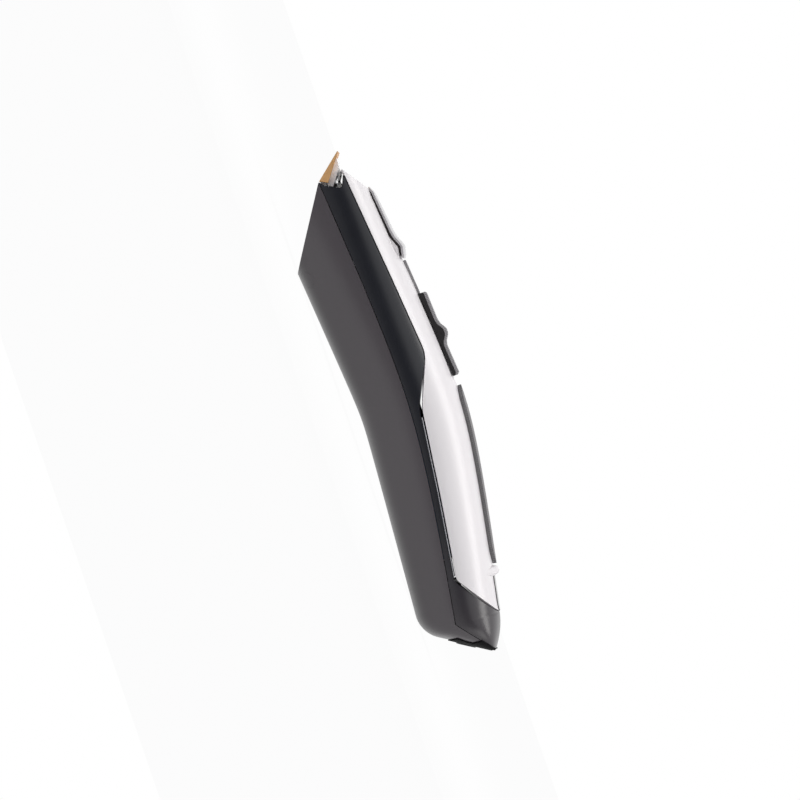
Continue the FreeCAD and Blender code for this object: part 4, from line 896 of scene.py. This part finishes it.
def grained(name, colour, shade, roughness, pitch, depth, ribbed=0.0):
    """Grained grip plastic: rows of tiny studs, or fine cross ribs, pressed into the skin."""
    material = bpy.data.materials.new(name)
    nodes, links = clear_tree(material)
    where = nodes.new("ShaderNodeTexCoord").outputs["Object"]
    shader = nodes.new("ShaderNodeBsdfPrincipled")
    studs = nodes.new("ShaderNodeTexVoronoi")
    studs.inputs["Scale"].default_value = 1 / pitch
    studs.inputs["Randomness"].default_value = 0.15
    links.new(where, studs.inputs["Vector"])
    ribs = nodes.new("ShaderNodeTexWave")
    ribs.bands_direction = "X"
    ribs.inputs["Scale"].default_value = 0.314 / pitch
    links.new(where, ribs.inputs["Vector"])
    height = nodes.new("ShaderNodeMix")
    height.inputs["Factor"].default_value = ribbed
    links.new(studs.outputs["Distance"], height.inputs["A"])
    links.new(ribs.outputs["Fac"], height.inputs["B"])
    tone = nodes.new("ShaderNodeMix")
    tone.data_type = "RGBA"
    tone.inputs["A"].default_value = (*colour, 1)
    tone.inputs["B"].default_value = (*shade, 1)
    links.new(height.outputs["Result"], tone.inputs["Factor"])
    links.new(tone.outputs["Result"], shader.inputs["Base Color"])
    shader.inputs["Roughness"].default_value = roughness
    bump = nodes.new("ShaderNodeBump")
    bump.inputs["Strength"].default_value = 0.9
    bump.inputs["Distance"].default_value = depth
    bump.invert = ribbed < 0.5
    links.new(height.outputs["Result"], bump.inputs["Height"])
    links.new(bump.outputs["Normal"], shader.inputs["Normal"])
    links.new(shader.outputs[0], nodes.new("ShaderNodeOutputMaterial").inputs["Surface"])
    return material


grained_grey = grained("grained_grey", (0.22, 0.215, 0.22), (0.05, 0.049, 0.05), 0.5, 0.0007, 0.00012)
ribbed_grey = grained("ribbed_grey", (0.42, 0.41, 0.42), (0.13, 0.127, 0.13), 0.5, 0.0006, 0.0001,
                      ribbed=0.35)
# Near-black paint for the slider's base and skirts: painted shade for its shaded side walls.
slider_shade_paint = moulded("slider_side_shade", (0.016, 0.015, 0.016), (0.022, 0.021, 0.022), 0.5, 4000, 0.000008,
                     specular=0.25)

TRACK_END = SLIDER_END - 0.3
TRACK_WIDTH = 10
TRACK_SINK = -1.2
TRACK_RISE = 0.6
TRACK_LOW_RISE = 0.05
bm = profile_bar([(TRACK_START, slide_line(TRACK_START, TRACK_SINK)),
                  (TRACK_END, slide_line(TRACK_END, TRACK_SINK)),
                  (TRACK_END, slide_line(TRACK_END, TRACK_LOW_RISE)),
                  (SLIDER_START + 2, slide_line(SLIDER_START, TRACK_LOW_RISE)),
                  (SLIDER_START - 0.5, slide_line(SLIDER_START, TRACK_RISE)),
                  (TRACK_START, slide_line(TRACK_START, TRACK_RISE))], TRACK_WIDTH)
track = piece_from(bm, "slide_track", ribbed_grey, stands_for=("switch_track",))
soften(track, 0.15)


def slider_crown(drop):
    """The slider's top outline from tail to head, with its thumb hump, lowered by drop."""
    chain = [(-4.15, 42.75), (-5.0, 43.45), (-10.5, 43.0), (-15.6, 42.6), (-17.2, 43.0), (-19.0, 44.1),
             (-19.9, 44.3), (-21.1, 44.3), (-22.0, 43.9), (-23.6, 42.8), (-25.4, 42.3), (-31.0, 42.0),
             (-35.6, 41.75), (-36.2, 41.3)]
    return [(x, z - drop) for x, z in chain]


SLIDER_WIDTH = 14
SLIDER_RISE = 0.1
BASE_DROP = 1.15
CAP_THICKNESS = 1.3
foot = [(SLIDER_START + 0.1, slide_line(SLIDER_START, SLIDER_RISE)),
        (SLIDER_END - 0.05, slide_line(SLIDER_END, SLIDER_RISE))]
bm = profile_bar(foot + slider_crown(BASE_DROP), SLIDER_WIDTH - 0.1)
slider_base = piece_from(bm, "slider_base", slider_shade_paint, body="power_switch",
                         stands_for=("switch_slider",))
soften(slider_base, 0.12)
# The skirts carry the painted shade down the slider's sides to the cover.
SKIRT_Y = 6.2
SKIRT_WALL = 0.72
SKIRT_TOP = 0.5
skirt_low = [(SLIDER_START + 0.1, -0.2), (-30, -0.1), (-20, -0.08), (-10, -0.2), (SLIDER_END - 0.05, -0.42)]
skirt_outline = skirt_low + [(x, SKIRT_TOP) for x, drop in reversed(skirt_low)]
bm = bmesh.new()
for side in (-1, 1):
    verts = [bm.verts.new(Vector((x, SKIRT_Y * side, slide_line(x, rise))) * MM) for x, rise in skirt_outline]
    grown = bmesh.ops.extrude_face_region(bm, geom=[bm.faces.new(verts)])["geom"]
    bmesh.ops.translate(bm, vec=(0, SKIRT_WALL * side * MM, 0), verts=verts_of(grown))
bmesh.ops.recalc_face_normals(bm, faces=bm.faces)
slider_skirt = piece_from(bm, "slider_skirt", slider_shade_paint, body="power_switch")
soften(slider_skirt, 0.05)
bm = profile_bar(slider_crown(CAP_THICKNESS)[::-1] + slider_crown(0), SLIDER_WIDTH)
slider_cap = piece_from(bm, "slider_cap", ribbed_grey, body="power_switch")
soften(slider_cap, 1.0, 4, 50)

# ---- grip strip -------------------------------------------------------------------------------
# The long grained strip down the front of the handle, a dark moulding with round ends that is
# bonded in a shallow seat.
GRIP_START = -0.5
GRIP_END = 64.5
GRIP_WIDTH = 14
GRIP_CORNER = 6.99
GRIP_RISE = 1.5
grip_plan = rounded_plan(GRIP_START, GRIP_END, GRIP_WIDTH, GRIP_CORNER)
bm = crest_pad(160, 20, GRIP_START, GRIP_END, grip_plan, lambda x: GRIP_RISE)
grip = piece_from(bm, "grip_pad", grained_grey, stands_for=("grip_strip",))
thicken(grip, 1.4)
soften(grip, 0.35, 3)

# ---- ridge ------------------------------------------------------------------------------------
# The small moulded ridge of the front cover behind the grip strip. It has a flat top and two
# sloping ends that run out on the flanks.
RIDGE_X = 64.8
RIDGE_HALF_WIDTH = 12
RIDGE_TOP_HALF = 6
RIDGE_END_RUN = 5.5
RIDGE_END_DROP = 2.2


def ridge_lift(x):
    """How far the ridge stands over the cover."""
    return eased(x, [(RIDGE_X - 0.3, -0.3), (RIDGE_X + 0.9, 1.7), (RIDGE_X + 2.9, 2.1),
                     (RIDGE_X + 3.7, 0.5), (RIDGE_X + 4, -0.3)], soft=False)


bm = crest_pad(60, 60, RIDGE_X - 0.3, RIDGE_X + 4, lambda x: RIDGE_HALF_WIDTH, ridge_lift)
for vert in bm.verts:
    sideways = max(0.0, min(1.0, (abs(vert.co.y) / MM - RIDGE_TOP_HALF) / RIDGE_END_RUN))
    vert.co.z -= RIDGE_END_DROP * sideways * MM
ridge = piece_from(bm, "cover_ridge", white_cover)
thicken(ridge, 1.0)
soften(ridge, 0.12)

# ---- charge window ----------------------------------------------------------------------------
# The smoked window over the charge light, behind the ridge at the tail end. It is a thin moulding
# in tinted plastic, bonded to the cover, and its front edge runs up the back of the ridge.
WINDOW_START = RIDGE_X + 2.3
WINDOW_END = RIDGE_X + 4.3 + 12
WINDOW_WIDTH = 13
WINDOW_CORNER = 3
smoked = moulded("smoked_window", (0.03, 0.03, 0.033), (0.04, 0.04, 0.043), 0.12, 2500, 0.000001, coat=0.6)


def window_lift(x):
    """How far the window stands over the cover: it runs up the back of the ridge."""
    return eased(x, [(WINDOW_START, 2.15), (RIDGE_X + 4.0, 0.35), (RIDGE_X + 20, 0.35)])


window_plan = rounded_plan(WINDOW_START, WINDOW_END, WINDOW_WIDTH, WINDOW_CORNER)
bm = crest_pad(90, 16, WINDOW_START, WINDOW_END, window_plan, window_lift)
window = piece_from(bm, "charge_window", smoked, stands_for=("indicator_window",))
thicken(window, 0.3)
soften(window, 0.1)

# ---- tail pad ---------------------------------------------------------------------------------
# The black pad over the leaning tail face, a matte moulding that is bonded on. The collar of the
# charging socket stands out of its middle. This piece is closed: it has no opening inside the collar.
PAD_RISE = 0.7
PAD_LOW = TAIL_X - 8.7
PAD_OVERLAP = 0.2


def pad_place(along, around):
    """The pad's outer face over the tail, from the middle of the back up to the pad's edge."""
    x = PAD_LOW + along * (TAIL_X - 0.3 - PAD_LOW)
    above_back = eased(x, [(PAD_LOW, 0.6), (PAD_LOW + 0.5, 2.5), (88, 1.9), (88.9, 1.9), (89.4, 5.5),
                           (89.8, 9)])
    edge = turn_at(x, min(shell_seam(x) + PAD_OVERLAP, back_height(x) + above_back))
    return skin_point(x, -math.pi / 2 + around * (edge + math.pi / 2), PAD_RISE)


black_pad = moulded("black_pad", (0.005, 0.005, 0.0055), (0.008, 0.008, 0.0085), 0.75, 3500, 0.00001,
                    specular=0.08)
pad = piece_from(half_skin(60, 24, pad_place), "tail_cap", black_pad,
                 stands_for=("tail_pad",))
thicken(pad, 0.6)
soften(pad, 0.15)

# ---- carried-over pieces ----------------------------------------------------------------------
# The blades, their holder, and everything inside the housing keep the frame's own shapes. The
# flat-sided ones get finely broken edges, as ground steel and moulded parts have.


def keep_node(name, material, edge=0.0):
    """Gives a node of the frame its material and, where asked, finely broken edges."""
    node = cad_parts[name]
    node.data.materials.clear()
    node.data.materials.append(material)
    if edge:
        weld = node.modifiers.new("weld", "WELD")
        weld.merge_threshold = 1e-6
        soften(node, edge, 2, 30)


gold = polished("gold_steel", (0.80, 0.47, 0.22), 0.38, brushed=1.6, streak=(1, 0.5, 1))
ceramic = moulded("ceramic", (0.93, 0.925, 0.93), (0.95, 0.945, 0.95), 0.25, 3000, 0.000001, coat=0.2)
pale = moulded("pale_plastic", (0.82, 0.82, 0.80), (0.86, 0.86, 0.84), 0.35)
black_plastic = moulded("black_plastic", (0.018, 0.018, 0.02), (0.024, 0.024, 0.026), 0.45)
spring_steel = polished("spring_steel", (0.62, 0.62, 0.64), 0.25, brushed=0.3, streak=(0.1, 1, 1))
zinc = polished("screw_steel", (0.50, 0.50, 0.52), 0.35, brushed=0.2)
motor_steel = polished("motor_steel", (0.58, 0.58, 0.60), 0.3, brushed=0.4, streak=(0.08, 1, 1))
bronze = polished("bronze", (0.62, 0.45, 0.25), 0.4, brushed=0.5)
ferrite = moulded("magnet", (0.05, 0.05, 0.052), (0.07, 0.07, 0.07), 0.6, 1500, 0.00003)
wound = polished("rotor_steel", (0.60, 0.38, 0.22), 0.4, brushed=1.0, streak=(1, 0.1, 0.1))
rubber = moulded("damper_rubber", (0.02, 0.02, 0.02), (0.03, 0.03, 0.03), 0.7, 1800, 0.00003)
sleeve_blue = moulded("cell_sleeve", (0.05, 0.16, 0.32), (0.06, 0.19, 0.36), 0.3)
nickel = polished("nickel_tab", (0.7, 0.69, 0.66), 0.3, brushed=0.3)
solder_mask = moulded("solder_mask", (0.02, 0.14, 0.06), (0.03, 0.18, 0.08), 0.35, 900, 0.00002)
chip = moulded("chip_black", (0.03, 0.03, 0.03), (0.04, 0.04, 0.04), 0.5)
clear = moulded("clear_pipe", (0.75, 0.75, 0.75), (0.8, 0.8, 0.8), 0.1)

keep_node("fixed_blade", gold, 0.06)
keep_node("moving_blade", ceramic, 0.06)
keep_node("cutter_carrier", pale, 0.1)
keep_node("blade_holder", pale, 0.08)
keep_node("blade_screws", zinc)
keep_node("blade_springs", spring_steel)
keep_node("latch_spring", spring_steel)
keep_node("charging_socket", black_plastic)
keep_node("socket_contacts", nickel)
keep_node("light_pipe", clear)
keep_node("switch_carrier", black_plastic)
keep_node("switch_contact", bronze)
keep_node("motor_can", motor_steel)
keep_node("motor_endcap", black_plastic)
keep_node("motor_bearings", bronze)
keep_node("motor_magnets", ferrite)
keep_node("motor_rotor", wound)
keep_node("drive_eccentric", pale)
keep_node("motor_dampers", rubber)
keep_node("motor_bracket", black_plastic)
keep_node("battery_cell", sleeve_blue)
keep_node("battery_tabs", nickel)
keep_node("circuit_board", solder_mask)
keep_node("board_components", chip)
keep_node("housing_screws", zinc)
